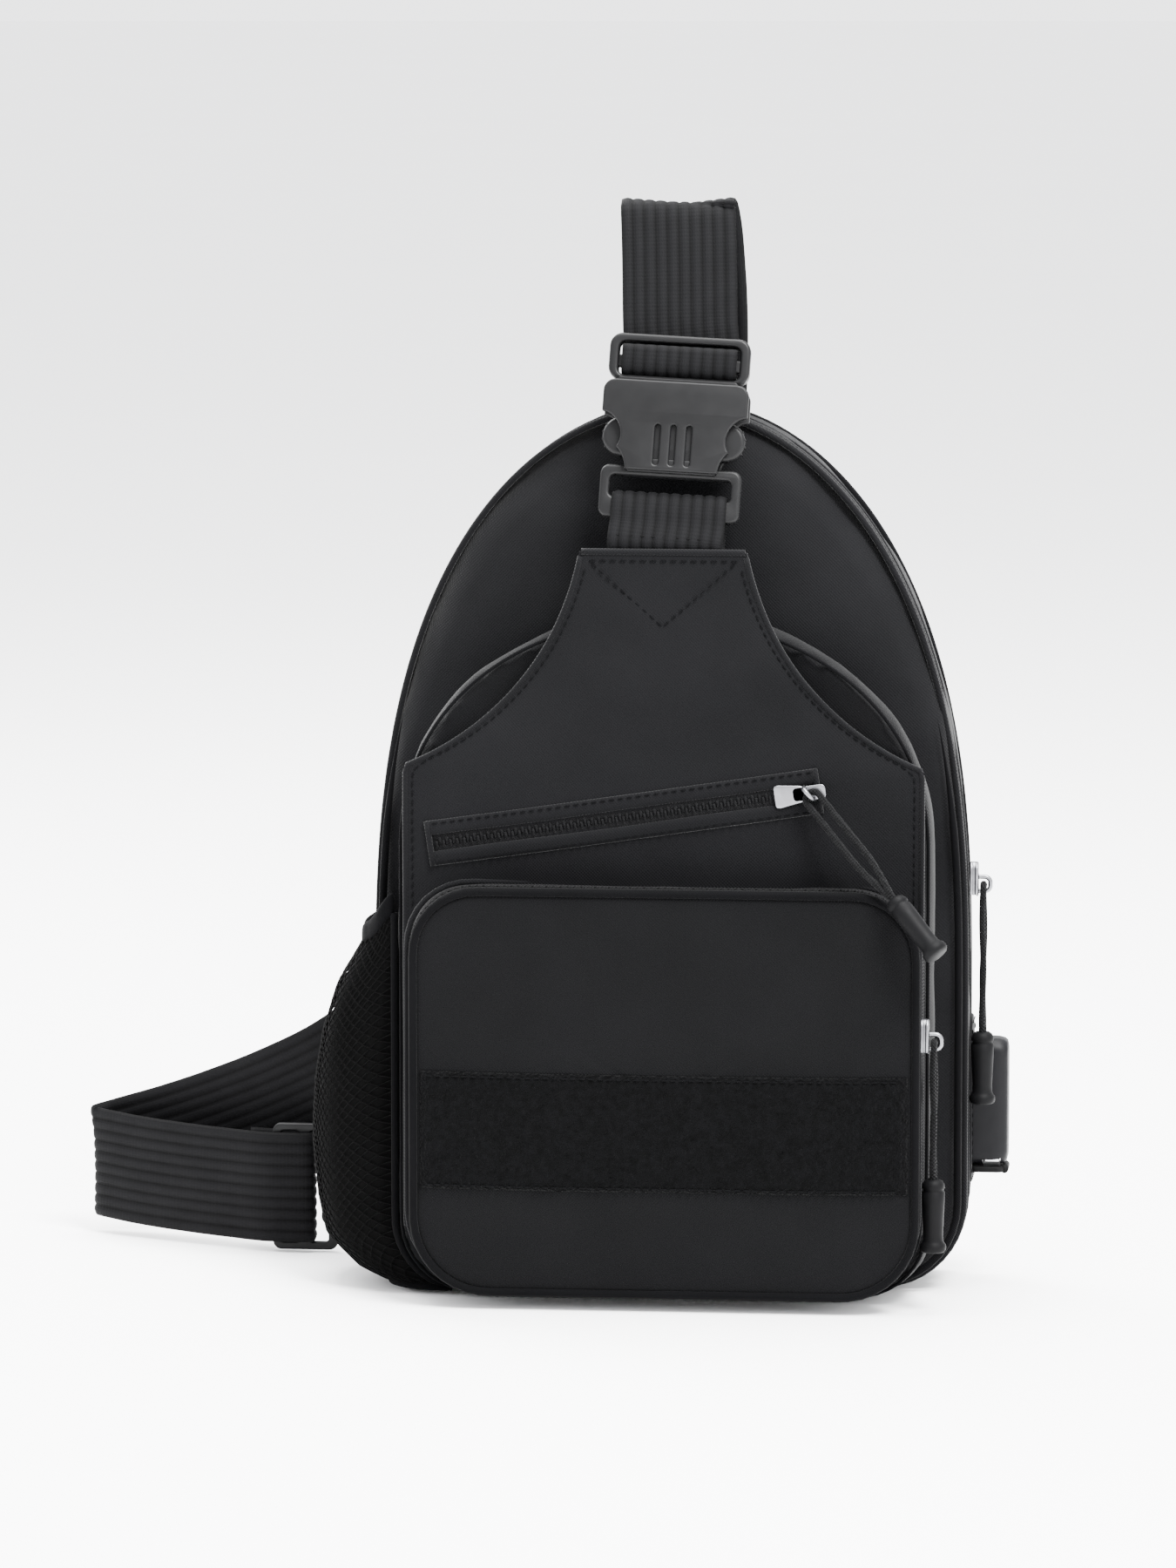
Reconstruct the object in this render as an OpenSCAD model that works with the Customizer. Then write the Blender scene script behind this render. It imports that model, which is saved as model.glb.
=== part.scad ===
// Sling bag with a side-release buckle, three zipped pockets, a mesh
// bottle pocket and a webbing shoulder strap. +Z up, front towards -Y.

/* [Body] */
// Width of the main compartment
body_w = 196; // [180:1:210]
// Height of the main compartment
body_h = 294; // [280:1:300]
// Depth of the main compartment
body_d = 38; // [34:1:44]
// Depth of the front compartment
front_d = 25; // [22:1:28]
// Thickness of a fabric wall
wall = 2; // [1.5:0.1:2.4]

/* [Front pocket] */
// Width of the lower front pocket
pocket_w = 169; // [160:1:172]
// Height of the top of the lower front pocket
pocket_top = 139.5; // [130:0.5:142]
// Depth of the lower front pocket
pocket_d = 16.5; // [14:0.5:20]
// Height of the loop band on the pocket
band_h = 39.5; // [30:0.5:42]

/* [Strap] */
// Width of the shoulder webbing
web_w = 38; // [36:0.5:38.5]
// Thickness of the webbing
web_t = 1.6; // [1.2:0.1:1.8]
// Backward lean of the buckle and its webbing
lean = 14; // [12:1:15]
// Sideways tilt of the buckle
tilt = 3; // [0:1:3]

/* [Mesh pocket] */
// How far the mesh pocket stands out of the side
mesh_out = 21; // [16:1:24]
// Height of the mesh pocket's mouth
mesh_top = 116; // [100:1:118]

/* [Hidden] */
$fn = 32;

// Heights and depths of the sewn layers, from the front to the back
base_t = 1.5;
front_y = -front_d;
panel_y = front_y - wall;
pocket_y = panel_y - pocket_d;
face_y = pocket_y - 1.5;
back_y = wall + body_d;
back_t = 3;
pad_y = back_y + back_t;
pad_t = 6;
gap = 0.3;

// Main outline: straight sides, then a tall superelliptic dome
body_half = body_w / 2;
body_spring = 100;
body_power = 2.6;
body_corner = 28;
// Front compartment outline
front_half = 88;
front_spring = 150;
front_top = 228;
front_power = 2.2;
front_corner = 24;
// Pocket corners
pocket_low = 4.9;
pocket_r_low = 25;
pocket_r_high = 21;
// Y-shaped front panel: concave sides up to the strap
yoke_half = 27.5;
yoke_top = 249.5;
yoke_c = [120.5, 265.8];
yoke_r = 94.3;
yoke_low_angle = 248.5;
yoke_top_angle = 189.9;
panel_half = 86;
panel_low = 3;
panel_corner = 24;

arc_n = 6;
dome_n = 18;

// Half of an arched outline: bottom corner, then the dome up to its top
function arch_half(half, low, spring, top, power, corner, grow) = concat(
    [for (i = [0:arc_n]) let (a = -90 + 90 * i / arc_n)
        [half - corner + (corner + grow) * cos(a), low + corner + (corner + grow) * sin(a)]],
    [for (i = [0:dome_n - 1]) let (a = 90 * i / dome_n)
        [(half + grow) * cos(a), spring + (top + grow - spring) * pow(sin(a), 2 / power)]]);

function mirrored(points) = [for (i = [len(points) - 1:-1:0]) [-points[i][0], points[i][1]]];

function arch(half, low, spring, top, power, corner, grow) =
    let (side = arch_half(half, low, spring, top, power, corner, grow))
    concat(side, [[0, top + grow]], mirrored(side));

function body_outline(grow) =
    arch(body_half, base_t, body_spring, body_h, body_power, body_corner, grow);

function front_outline(grow) =
    arch(front_half, base_t, front_spring, front_top, front_power, front_corner, grow);

function pocket_side(grow) = let (half = pocket_w / 2) concat(
    [for (i = [0:arc_n]) let (a = -90 + 90 * i / arc_n)
        [half - pocket_r_low + (pocket_r_low + grow) * cos(a),
         pocket_low + pocket_r_low + (pocket_r_low + grow) * sin(a)]],
    [for (i = [0:arc_n]) let (a = 90 * i / arc_n)
        [half - pocket_r_high + (pocket_r_high + grow) * cos(a),
         pocket_top - pocket_r_high + (pocket_r_high + grow) * sin(a)]]);

function pocket_outline(grow) = concat(pocket_side(grow), mirrored(pocket_side(grow)));

yoke_n = 12;
yoke_side = concat(
    [for (i = [0:arc_n]) let (a = -90 + 90 * i / arc_n)
        [panel_half - panel_corner + panel_corner * cos(a),
         panel_low + panel_corner + panel_corner * sin(a)]],
    [for (i = [0:yoke_n]) let (a = yoke_low_angle + (yoke_top_angle - yoke_low_angle) * i / yoke_n)
        [yoke_c[0] + yoke_r * cos(a), yoke_c[1] + yoke_r * sin(a)]],
    [[yoke_half, yoke_top]]);

// A flat layer of the given outline between two depths
module slab(points, y0, y1) {
    translate([0, y1, 0]) rotate([90, 0, 0]) linear_extrude(y1 - y0) polygon(points);
}

// A layer with its middle cut away
module hoop(outer, inner, y0, y1) {
    difference() {
        slab(outer, y0, y1);
        slab(inner, y0 - 1, y1 + 1);
    }
}

// A block centred on X between two depths and two heights
module block(half, y0, y1, z0, z1) {
    translate([-half, y0, z0]) cube([2 * half, y1 - y0, z1 - z0]);
}

// Unit vector, and the direction of a route at one of its points
function unit(v) = v / norm(v);
function heading(route, i) =
    unit(route[min(i + 1, len(route) - 1)] - route[max(i - 1, 0)]);

// Flat webbing along a route; each width direction is given beside its point
module ribbon(route, across, w, t) {
    n = len(route);
    points = [for (i = [0:n - 1])
        let (d = heading(route, i), u = unit(across[i] - (across[i] * d) * d), v = cross(d, u))
        for (k = [[-1, -1], [1, -1], [1, 1], [-1, 1]])
            route[i] + u * (k[0] * w / 2) + v * (k[1] * t / 2)];
    polyhedron(points, tube_faces(n, 4));
}

function tube_faces(n, sides) = concat(
    [[for (k = [0:sides - 1]) k]],
    [for (i = [0:n - 2]) for (k = [0:sides - 1]) let (m = (k + 1) % sides)
        [i * sides + k, (i + 1) * sides + m, i * sides + m]],
    [for (i = [0:n - 2]) for (k = [0:sides - 1]) let (m = (k + 1) % sides)
        [i * sides + k, (i + 1) * sides + k, (i + 1) * sides + m]],
    [[for (k = [sides - 1:-1:0]) (n - 1) * sides + k]]);

// Round cord along a route that lies near one plane with normal `flat`
cord_sides = 8;
module cord(route, d, flat) {
    n = len(route);
    points = [for (i = [0:n - 1])
        let (a = heading(route, i), u = unit(cross(flat, a)), v = cross(a, u))
        for (k = [0:cord_sides - 1])
            route[i] + (d / 2) * (cos(360 * k / cord_sides) * u + sin(360 * k / cord_sides) * v)];
    polyhedron(points, tube_faces(n, cord_sides));
}

// ---- Bag shell ----
base_half = 66;
base_y = 43;
module base_panel() {
    color([0.08, 0.08, 0.085]) block(base_half, -base_y, base_y, 0, base_t);
}

module main_gusset() {
    color([0.10, 0.10, 0.105]) hoop(body_outline(0), body_outline(-wall), wall, back_y);
}

module dome_front_panel() {
    color([0.11, 0.11, 0.115]) slab(body_outline(0), 0, wall);
}

module back_panel() {
    color([0.10, 0.10, 0.10]) slab(body_outline(0), back_y, pad_y);
}

// Rounded back pads, one above the other
pad_inset = 16;
pad_split = 132;
pad_gap = 8;
module back_pad(z0, z1) {
    color([0.09, 0.09, 0.09]) intersection() {
        slab(body_outline(-pad_inset), pad_y, pad_y + pad_t);
        block(body_half, pad_y - 1, pad_y + pad_t + 1, z0, z1);
    }
}
module back_pad_upper() { back_pad(pad_split + pad_gap, body_h); }
module back_pad_lower() { back_pad(0, pad_split); }

divider_half = 88;
divider_top = 170;
divider_y = 22;
module inner_divider() {
    color([0.13, 0.13, 0.14]) block(divider_half, divider_y, divider_y + 1, 24, divider_top);
}

board_half = 66;
module base_board() {
    color([0.2, 0.2, 0.2]) block(board_half, wall + 1, back_y - 1, base_t + wall, base_t + wall + 1.5);
}

piping_d = 2;
piping_open = 74;
module front_piping() {
    color([0.06, 0.06, 0.06]) difference() {
        hoop(body_outline(1.2), body_outline(-1), -piping_d, 0);
        block(piping_open, -piping_d - 1, 1, -1, 6);
    }
}

tape_t = 1.2;
tape_y0 = 7;
tape_y1 = 17;
tape_right_end = 28;
tape_left_end = 132;
module main_zipper_tape() {
    color([0.05, 0.05, 0.05]) difference() {
        hoop(body_outline(tape_t), body_outline(0), tape_y0, tape_y1);
        translate([0, 0, -1]) cube([body_w, body_d, tape_right_end + 1]);
        translate([-body_w, 0, -1]) cube([body_w + 1, body_d, tape_left_end + 1]);
    }
}

// ---- Front compartment ----
module front_gusset() {
    color([0.10, 0.10, 0.105]) hoop(front_outline(0), front_outline(-wall), front_y, 0);
}

module front_panel() {
    color([0.11, 0.11, 0.115]) slab(concat(yoke_side, mirrored(yoke_side)), panel_y, front_y);
}

// Slanted pocket opening: frame of folded fabric with the zip inside it
welt_c = [-12.6, 162];
welt_angle = 8.5;
welt_l = 131;
welt_h = 15;
slot_l = 123;
slot_h = 9;
welt_t = 1.4;
module slanted(y0, y1, l, h) {
    translate([welt_c[0], y1, welt_c[1]]) rotate([90, -welt_angle, 0])
        translate([-l / 2, -h / 2, 0]) cube([l, h, y1 - y0]);
}
module diagonal_welt() {
    color([0.09, 0.09, 0.09]) difference() {
        slanted(panel_y - welt_t, panel_y, welt_l, welt_h);
        slanted(panel_y - welt_t - 1, panel_y + 1, slot_l, slot_h);
    }
}
module diagonal_zipper_tape() {
    color([0.05, 0.05, 0.05]) slanted(panel_y - 1, panel_y, slot_l, slot_h);
}

// ---- Lower front pocket ----
module pocket_gusset() {
    color([0.09, 0.09, 0.09]) hoop(pocket_outline(0), pocket_outline(-wall), pocket_y, panel_y);
}
module pocket_face() {
    color([0.11, 0.11, 0.115]) slab(pocket_outline(-2), face_y, pocket_y);
}
module pocket_piping() {
    color([0.06, 0.06, 0.06]) hoop(pocket_outline(0.6), pocket_outline(-1.8), face_y, pocket_y);
}
pocket_tape_y0 = -40;
pocket_tape_y1 = -31;
pocket_tape_low = 36;
module pocket_zipper_tape() {
    color([0.05, 0.05, 0.05]) difference() {
        hoop(pocket_outline(1), pocket_outline(0), pocket_tape_y0, pocket_tape_y1);
        block(body_half, pocket_tape_y0 - 1, pocket_tape_y1 + 1, -1, pocket_tape_low);
    }
}

band_low = 40;
band_half = 79;
band_t = 1.2;
module loop_panel() {
    color([0.03, 0.03, 0.03]) block(band_half, face_y - band_t, face_y, band_low, band_low + band_h);
}

// ---- Mesh bottle pocket on the left side ----
mesh_c = [-97, 9];
mesh_ry = 28.5;
mesh_rx = mesh_out + 2.5;
mesh_low = 9;
mesh_wall = 1.8;
mesh_n = 40;
binding_h = 5;
function oval(rx, ry) = [for (i = [0:mesh_n - 1]) let (a = 360 * i / mesh_n) [rx * cos(a), ry * sin(a)]];
module beside_bag(grow, z0, z1) {
    difference() {
        translate([mesh_c[0], mesh_c[1], z0]) linear_extrude(z1 - z0)
            polygon(oval(mesh_rx + grow, mesh_ry + grow));
        translate([-body_half - 1.6, -2.5, z0 - 1]) cube([body_w, 2 * body_d, z1 - z0 + 2]);
        translate([-front_half - 0.4, -2 * body_d, z0 - 1]) cube([body_w, 4 * body_d, z1 - z0 + 2]);
    }
}
module mesh_pocket() {
    color([0.04, 0.04, 0.04]) difference() {
        beside_bag(0, mesh_low, mesh_top);
        beside_bag_inside(mesh_low + mesh_wall, mesh_top + 1);
    }
}
module beside_bag_inside(z0, z1) {
    translate([mesh_c[0], mesh_c[1], z0]) linear_extrude(z1 - z0)
        polygon(oval(mesh_rx - mesh_wall, mesh_ry - mesh_wall));
}
module mesh_binding() {
    color([0.07, 0.07, 0.07]) difference() {
        beside_bag(0.4, mesh_top, mesh_top + binding_h);
        beside_bag_inside(mesh_top - 1, mesh_top + binding_h + 1);
    }
}

// ---- USB outlet on the right side ----
usb_y = 29;
usb_half = 7.5;
usb_low = 39;
usb_high = 82;
usb_x = body_half + 1.6;
usb_out = 12.6;
module usb_patch() {
    color([0.07, 0.07, 0.07]) translate([body_half, 20, 33]) cube([1.6, 18, 56]);
}
port_w = 13;
port_t = 6;
port_deep = 13;
port_x = usb_x + 4;
housing_r = 4;
module usb_housing() {
    color([0.09, 0.09, 0.09]) difference() {
        union() {
            translate([usb_x, usb_y - usb_half, usb_low])
                cube([usb_out - housing_r, 2 * usb_half, usb_high - usb_low]);
            translate([usb_x, usb_y - usb_half, usb_low])
                cube([usb_out, 2 * usb_half, usb_high - usb_low - housing_r]);
            translate([usb_x + usb_out - housing_r, usb_y, usb_high - housing_r])
                rotate([90, 0, 0]) cylinder(r = housing_r, h = 2 * usb_half, center = true);
        }
        translate([port_x - 0.5, usb_y - port_w / 2 - 0.5, usb_low - 1])
            cube([port_t + 1, port_w + 1, port_deep + 1.5]);
    }
}
module usb_socket() {
    color([0.6, 0.6, 0.62]) difference() {
        translate([port_x - 0.5, usb_y - port_w / 2 - 0.5, usb_low + 0.3])
            cube([port_t + 1, port_w + 1, port_deep + 0.2]);
        translate([port_x, usb_y - port_w / 2, usb_low - 1]) cube([port_t, port_w, port_deep]);
    }
}
cover_t = 2;
cover_hinge_x = usb_x + usb_out - 1.2;
module usb_cover() {
    color([0.06, 0.06, 0.06]) {
        translate([usb_x + 1, usb_y - usb_half, usb_low - gap - cover_t])
            cube([usb_out - 2.2, 2 * usb_half, cover_t]);
        translate([cover_hinge_x, usb_y, usb_low - gap - cover_t / 2])
            rotate([90, 0, 0]) cylinder(r = cover_t / 2, h = 2 * usb_half, center = true);
    }
}

// ---- Side-release buckle, drawn upright and then leaned back ----
buckle_at = [0.5, -21, 250];
module leaned() {
    translate(buckle_at) rotate([-lean, tilt, 0]) children();
}

// Webbing loop that joins the female half to the front panel
female_bar = [11.5, 16];
loop_t = 3.8;
tail_t = 3.4;
tail_low = 231;
module anchor_webbing() {
    color([0.13, 0.13, 0.135]) {
        leaned() difference() {
            block(web_w / 2, -loop_t, loop_t, 2, 18);
            block(web_w, -loop_t + web_t, loop_t - web_t, 4, female_bar[1] + gap);
        }
        translate([0, front_y, 0]) block(web_w / 2 - 0.5, 0, tail_t, tail_low, 252);
        translate([0, front_y, 0]) block(web_w / 2 - 0.5, 0.8, 7.4, 247, 255.5);
    }
}

female_half = 24;
female_top = 55;
female_low = 25;
plate_in = 3.3;
plate_out = 5.7;
module window(y0, y1) {
    for (side = [-1, 1])
        translate([side * (female_half + 1), y1, 36.5]) rotate([90, 0, 0])
            cylinder(r = 7.6, h = y1 - y0, $fn = 48);
}
module waist() {
    for (side = [-1, 1])
        translate([side * (female_half + 6.5), 20, 25.5]) rotate([90, 0, 0])
            cylinder(r = 11, h = 40, $fn = 48);
}
module buckle_female() {
    color([0.08, 0.08, 0.08]) leaned() {
        difference() {
            union() {
                block(female_half, -plate_out, -plate_in, female_low, female_top);
                block(female_half, plate_in, plate_out, female_low, female_top);
                block(19, -plate_out, plate_out, female_low, 29);
                for (side = [-1, 1]) translate([side * 7.2, 0, 0]) block(0.9, -4, 4, 28, 49);
            }
            window(-20, 20);
            waist();
        }
        difference() {
            block(23.3, -2.6, 2.6, 10.8, female_low + 0.5);
            block(20, -5, 5, 9, 23.5);
        }
        block(20.5, -1.8, 1.8, female_bar[0], female_bar[1]);
    }
}

male_bar = [59.7, 63.8];
male_half = 23.3;
module buckle_male() {
    color([0.08, 0.08, 0.08]) leaned() {
        difference() {
            block(male_half, -2.5, 2.5, female_top + 0.3, 71);
            block(20, -5, 5, 57, 68.2);
        }
        block(20.5, -1.7, 1.7, male_bar[0], male_bar[1]);
        block(20, -2.5, 2.5, 50, female_top + 1);
        block(4.6, -2.4, 2.4, 31, 51);
    }
}

// Sprung latch arms, each rooted just under the male half
arm_x = 15.5;
arm_root = 47.4;
arm_r = 2.2;
module buckle_arm() {
    leaned() {
        translate([arm_x, 0, arm_root]) rotate([90, 0, 0]) cylinder(r = arm_r, h = 5.2, center = true);
        translate([arm_x - 2, -2.6, 34]) cube([4, 5.2, arm_root - 34]);
        intersection() {
            translate([arm_x + 1.2, 0, 36.5]) rotate([90, 0, 0])
                cylinder(r = 7, h = 5.2, center = true, $fn = 48);
            translate([arm_x - 2, -2.6, 29.6]) cube([20, 5.2, 14]);
        }
    }
}
module flipped() {
    leaned() mirror([1, 0, 0]) rotate([0, -tilt, 0]) rotate([lean, 0, 0])
        translate(-buckle_at) children();
}
module buckle_arm_right() { color([0.08, 0.08, 0.08]) buckle_arm(); }
module buckle_arm_left() { color([0.08, 0.08, 0.08]) flipped() buckle_arm(); }

// ---- Shoulder strap ----
crest = [1.5, 12.6, 361.4];
strap_front_route = [
    [3.5, -2.5, 307], [3.2, 1.2, 322], [2.6, 5.2, 339], [1.9, 8.8, 354], [1.6, 10.4, 359.5], crest
];
strap_front_across = [for (p = strap_front_route) [1, 0, -0.03]];
module strap_front() {
    color([0.13, 0.13, 0.135]) {
        leaned() difference() {
            block(web_w / 2, -3.5, 4.9, 57.8, 65.6);
            block(web_w, -1.9, 1.9, male_bar[0] - 0.2, male_bar[1] + 0.2);
            block(web_w, -6, 6, female_top, 57.4);
        }
        ribbon(strap_front_route, strap_front_across, web_w, web_t);
    }
}

// Back run: over the crest, down behind the pads and out at the lower left
strap_back_route = [
    [1.5, 14.8, 361], [1.5, 17, 358.5], [1.5, 20, 352], [1.5, 30, 330], [1.4, 43, 306], [1, 50.5, 290],
    [0, 51.6, 270], [-3, 51.6, 240], [-12, 51.6, 205], [-27, 51.6, 168], [-48, 51.6, 130],
    [-74, 52, 98], [-98, 55, 77], [-118, 61, 62], [-140, 70, 50], [-160, 78, 41], [-178, 84, 34],
    [-193, 88, 29], [-202, 88.6, 26]
];
strap_back_turn = [0, 0, 0, 0, 0, 0, 2, 8, 17, 27, 38, 48, 56, 62, 68, 73, 77, 81, 84];
strap_back_across = [for (a = strap_back_turn) [cos(a), 0, -sin(a)]];
module strap_back() {
    color([0.13, 0.13, 0.135]) ribbon(strap_back_route, strap_back_across, web_w, web_t);
}

// Front run of the loop, on edge on the floor, then round the adjuster's bar
strap_lower_route = [
    [-202.5, 88.4, 26], [-206.5, 86.5, 25.2], [-206.5, 83.5, 24.8], [-202, 80, 24.4], [-190, 73.5, 23.6],
    [-172, 65, 22.8], [-155, 57.6, 22.4], [-144, 52.7, 22.3], [-134, 52, 22.3], [-129.5, 52, 22.3],
    [-127.5, 52.9, 22.3], [-127.2, 55.5, 22.3], [-127.5, 58.1, 22.3], [-129.5, 59, 22.3],
    [-134, 59.6, 22.3], [-143, 60.8, 22.3], [-150, 62.4, 22.3]
];
strap_lower_across = [for (p = strap_lower_route) [0, 0, 1]];
module strap_lower() {
    color([0.13, 0.13, 0.135]) ribbon(strap_lower_route, strap_lower_across, web_w, web_t);
}

glide_x = [-141.5, -119];
glide_y = [54, 57];
glide_z = [0.2, 44.4];
glide_rim = 2.8;
glide_post = 3;
glide_bar = [-132.4, -128.6];
module glide_block(x0, x1, z0, z1, out) {
    translate([x0, glide_y[0] - out, z0]) cube([x1 - x0, glide_y[1] - glide_y[0] + 2 * out, z1 - z0]);
}
module tri_glide() {
    color([0.08, 0.08, 0.08]) {
        difference() {
            glide_block(glide_x[0], glide_x[1], glide_z[0], glide_z[1], 0);
            glide_block(glide_x[0] + glide_post, glide_x[1] - glide_post,
                glide_z[0] + glide_rim, glide_z[1] - glide_rim, 1);
        }
        glide_block(glide_bar[0], glide_bar[1], glide_z[0] + 1, glide_z[1] - 1, 0);
    }
}

tab_low = 10;
tab_high = 34;
module corner_tab() {
    color([0.13, 0.13, 0.135]) difference() {
        translate([0, 0, tab_low]) linear_extrude(tab_high - tab_low) polygon([
            [-124.2, 52.2], [-124.2, 58.8], [-116.6, 58.8], [-99, 47.2], [-90, 46.2], [-90, pad_y],
            [-100, pad_y], [-117.6, 52.2]]);
        translate([-122.4, glide_y[0] - gap, 0]) cube([3.8, glide_y[1] - glide_y[0] + 2 * gap, 60]);
    }
}

// ---- Zip sliders and their pulls ----
// A slider lies in the XZ plane and faces -Y; its eye is at the origin
slider_l = 11;
slider_h = 8;
slider_t = 2.8;
eye_room = 3.3;
eye_y = gap + slider_t + eye_room / 2;
eye_gap = 3.4;
leg = 1.4;
bridge_t = 1.2;
module zip_slider(slide_angle, pull_angle, offset) {
    rotate([0, -slide_angle, 0]) translate([-offset, 0, 0]) {
        translate([-slider_l / 2, -gap - slider_t, -slider_h / 2]) cube([slider_l, slider_t, slider_h]);
        translate([0, -gap - slider_t + 0.4, 0]) cube([slider_l + 2 * offset - 6, 0.8, 5], center = true);
    }
    rotate([0, -pull_angle, 0]) {
        for (side = [-1, 1])
            translate([side * (eye_gap + leg) / 2, -eye_y, 0])
                cube([leg, eye_room + 1, 2], center = true);
        translate([0, -eye_y - (eye_room + bridge_t) / 2, 0])
            cube([eye_gap + 2 * leg, bridge_t, 2], center = true);
    }
}

// A pull hangs from the origin: a looped cord, then a tapered toggle
cord_d = 2.2;
loop_r = 2.5;
toggle_l = 24;
toggle_r = 3.8;
toggle_end_r = 4.3;
function pull_route(l) = concat(
    [for (k = [0:5]) [-loop_r, 0, -l + k * (l - loop_r - 1) / 5]],
    [for (k = [0:8]) let (a = 180 - 22.5 * k) [loop_r * cos(a), 0, -loop_r + loop_r * sin(a)]],
    [for (k = [5:-1:0]) [loop_r, 0, -l + k * (l - loop_r - 1) / 5]]);
module pull_cord(l) {
    color([0.08, 0.08, 0.08]) cord(pull_route(l), cord_d, [0, 1, 0]);
}
module pull_toggle(l) {
    color([0.10, 0.10, 0.10]) translate([0, 0, -l - toggle_l]) {
        translate([0, 0, 3]) cylinder(r1 = toggle_end_r - 1, r2 = toggle_r, h = toggle_l - 3);
        cylinder(r = toggle_end_r, h = 3);
    }
}

// Eyes of the three sliders
diagonal_eye = [48.5, panel_y - 1, 171.1];
diagonal_swing = 42;
diagonal_lift = 22;
diagonal_l = 47;
main_eye = [body_half + tape_t, 12, 136];
main_l = 50;
side_eye = [pocket_w / 2 + 1, (pocket_tape_y0 + pocket_tape_y1) / 2, 90];
side_l = 46;

module on_diagonal() {
    translate(diagonal_eye + [0, -eye_y, 0]) rotate([0, -diagonal_swing, 0])
        rotate([-diagonal_lift, 0, 0]) children();
}
module on_side(eye) {
    translate(eye) rotate([0, 0, 90]) children();
}
module diagonal_slider() {
    color([0.75, 0.75, 0.77]) translate(diagonal_eye)
        zip_slider(welt_angle, diagonal_swing - 90, 6);
}
module diagonal_pull_cord() { on_diagonal() pull_cord(diagonal_l); }
module diagonal_pull_toggle() { on_diagonal() pull_toggle(diagonal_l); }

module pocket_slider() {
    color([0.75, 0.75, 0.77]) on_side(side_eye) zip_slider(90, 90, -2);
}
module pocket_pull_cord() { on_side(side_eye + [eye_y, 0, 0]) pull_cord(side_l); }
module pocket_pull_toggle() { on_side(side_eye + [eye_y, 0, 0]) pull_toggle(side_l); }

module main_slider() {
    color([0.75, 0.75, 0.77]) on_side(main_eye) zip_slider(90, 90, -2);
}
module main_pull_cord() { on_side(main_eye + [eye_y, 0, 0]) pull_cord(main_l); }
module main_pull_toggle() { on_side(main_eye + [eye_y, 0, 0]) pull_toggle(main_l); }

base_panel();
main_gusset();
dome_front_panel();
back_panel();
back_pad_upper();
back_pad_lower();
inner_divider();
base_board();
front_piping();
main_zipper_tape();
front_gusset();
front_panel();
diagonal_welt();
diagonal_zipper_tape();
pocket_gusset();
pocket_face();
pocket_piping();
pocket_zipper_tape();
loop_panel();
mesh_pocket();
mesh_binding();
usb_patch();
usb_housing();
usb_socket();
usb_cover();
anchor_webbing();
buckle_female();
buckle_male();
buckle_arm_left();
buckle_arm_right();
strap_front();
strap_back();
strap_lower();
tri_glide();
corner_tab();
diagonal_slider();
diagonal_pull_cord();
diagonal_pull_toggle();
pocket_slider();
pocket_pull_cord();
pocket_pull_toggle();
main_slider();
main_pull_cord();
main_pull_toggle();
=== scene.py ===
"""Sling bag: the looks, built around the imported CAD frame. Metres; most shapes are written in millimetres."""
import math
import bmesh
import bpy
from mathutils import Matrix, Vector, noise


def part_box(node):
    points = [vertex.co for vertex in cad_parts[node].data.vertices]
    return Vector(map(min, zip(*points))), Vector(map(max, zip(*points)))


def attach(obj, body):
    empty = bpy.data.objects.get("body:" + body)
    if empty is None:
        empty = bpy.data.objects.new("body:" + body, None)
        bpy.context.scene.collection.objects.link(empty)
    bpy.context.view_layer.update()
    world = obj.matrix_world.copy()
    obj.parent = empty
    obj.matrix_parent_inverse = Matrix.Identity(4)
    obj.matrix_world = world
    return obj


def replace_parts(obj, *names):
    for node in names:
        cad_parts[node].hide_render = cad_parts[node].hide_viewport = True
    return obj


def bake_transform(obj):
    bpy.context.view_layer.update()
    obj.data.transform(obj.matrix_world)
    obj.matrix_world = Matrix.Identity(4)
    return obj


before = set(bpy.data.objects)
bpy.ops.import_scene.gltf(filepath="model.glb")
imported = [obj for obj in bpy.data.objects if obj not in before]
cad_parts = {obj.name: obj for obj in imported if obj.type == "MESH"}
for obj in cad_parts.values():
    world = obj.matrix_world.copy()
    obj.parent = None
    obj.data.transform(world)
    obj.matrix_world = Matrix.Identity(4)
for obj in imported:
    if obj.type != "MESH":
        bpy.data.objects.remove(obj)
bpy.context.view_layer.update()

MM = 0.001

# ---------------------------------------------------------------- camera
AZIMUTH = math.radians(5.6)
ELEVATION = math.radians(7.0)
DISTANCE = 2.6
PICTURE_HEIGHT = 0.5256
SENSOR = 36.0
AIM_RIGHT, AIM_UP = -0.0272, 0.1685


def make_camera():
    """The photograph's view: a long lens from the front, a little to the right and above."""
    right = Vector((math.cos(AZIMUTH), math.sin(AZIMUTH), 0))
    back = Vector((math.sin(AZIMUTH) * math.cos(ELEVATION), -math.cos(AZIMUTH) * math.cos(ELEVATION),
                   math.sin(ELEVATION)))
    up = back.cross(right)
    target = right * AIM_RIGHT + up * AIM_UP
    data = bpy.data.cameras.new("camera")
    data.sensor_width = SENSOR
    data.sensor_fit = "VERTICAL"
    data.sensor_height = SENSOR
    data.lens = SENSOR * DISTANCE / PICTURE_HEIGHT
    data.clip_end = 20
    camera = bpy.data.objects.new("camera", data)
    bpy.context.scene.collection.objects.link(camera)
    camera.matrix_world = Matrix.Translation(target + back * DISTANCE) @ Matrix(
        (right, up, back)).transposed().to_4x4()
    bpy.context.scene.camera = camera


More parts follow.
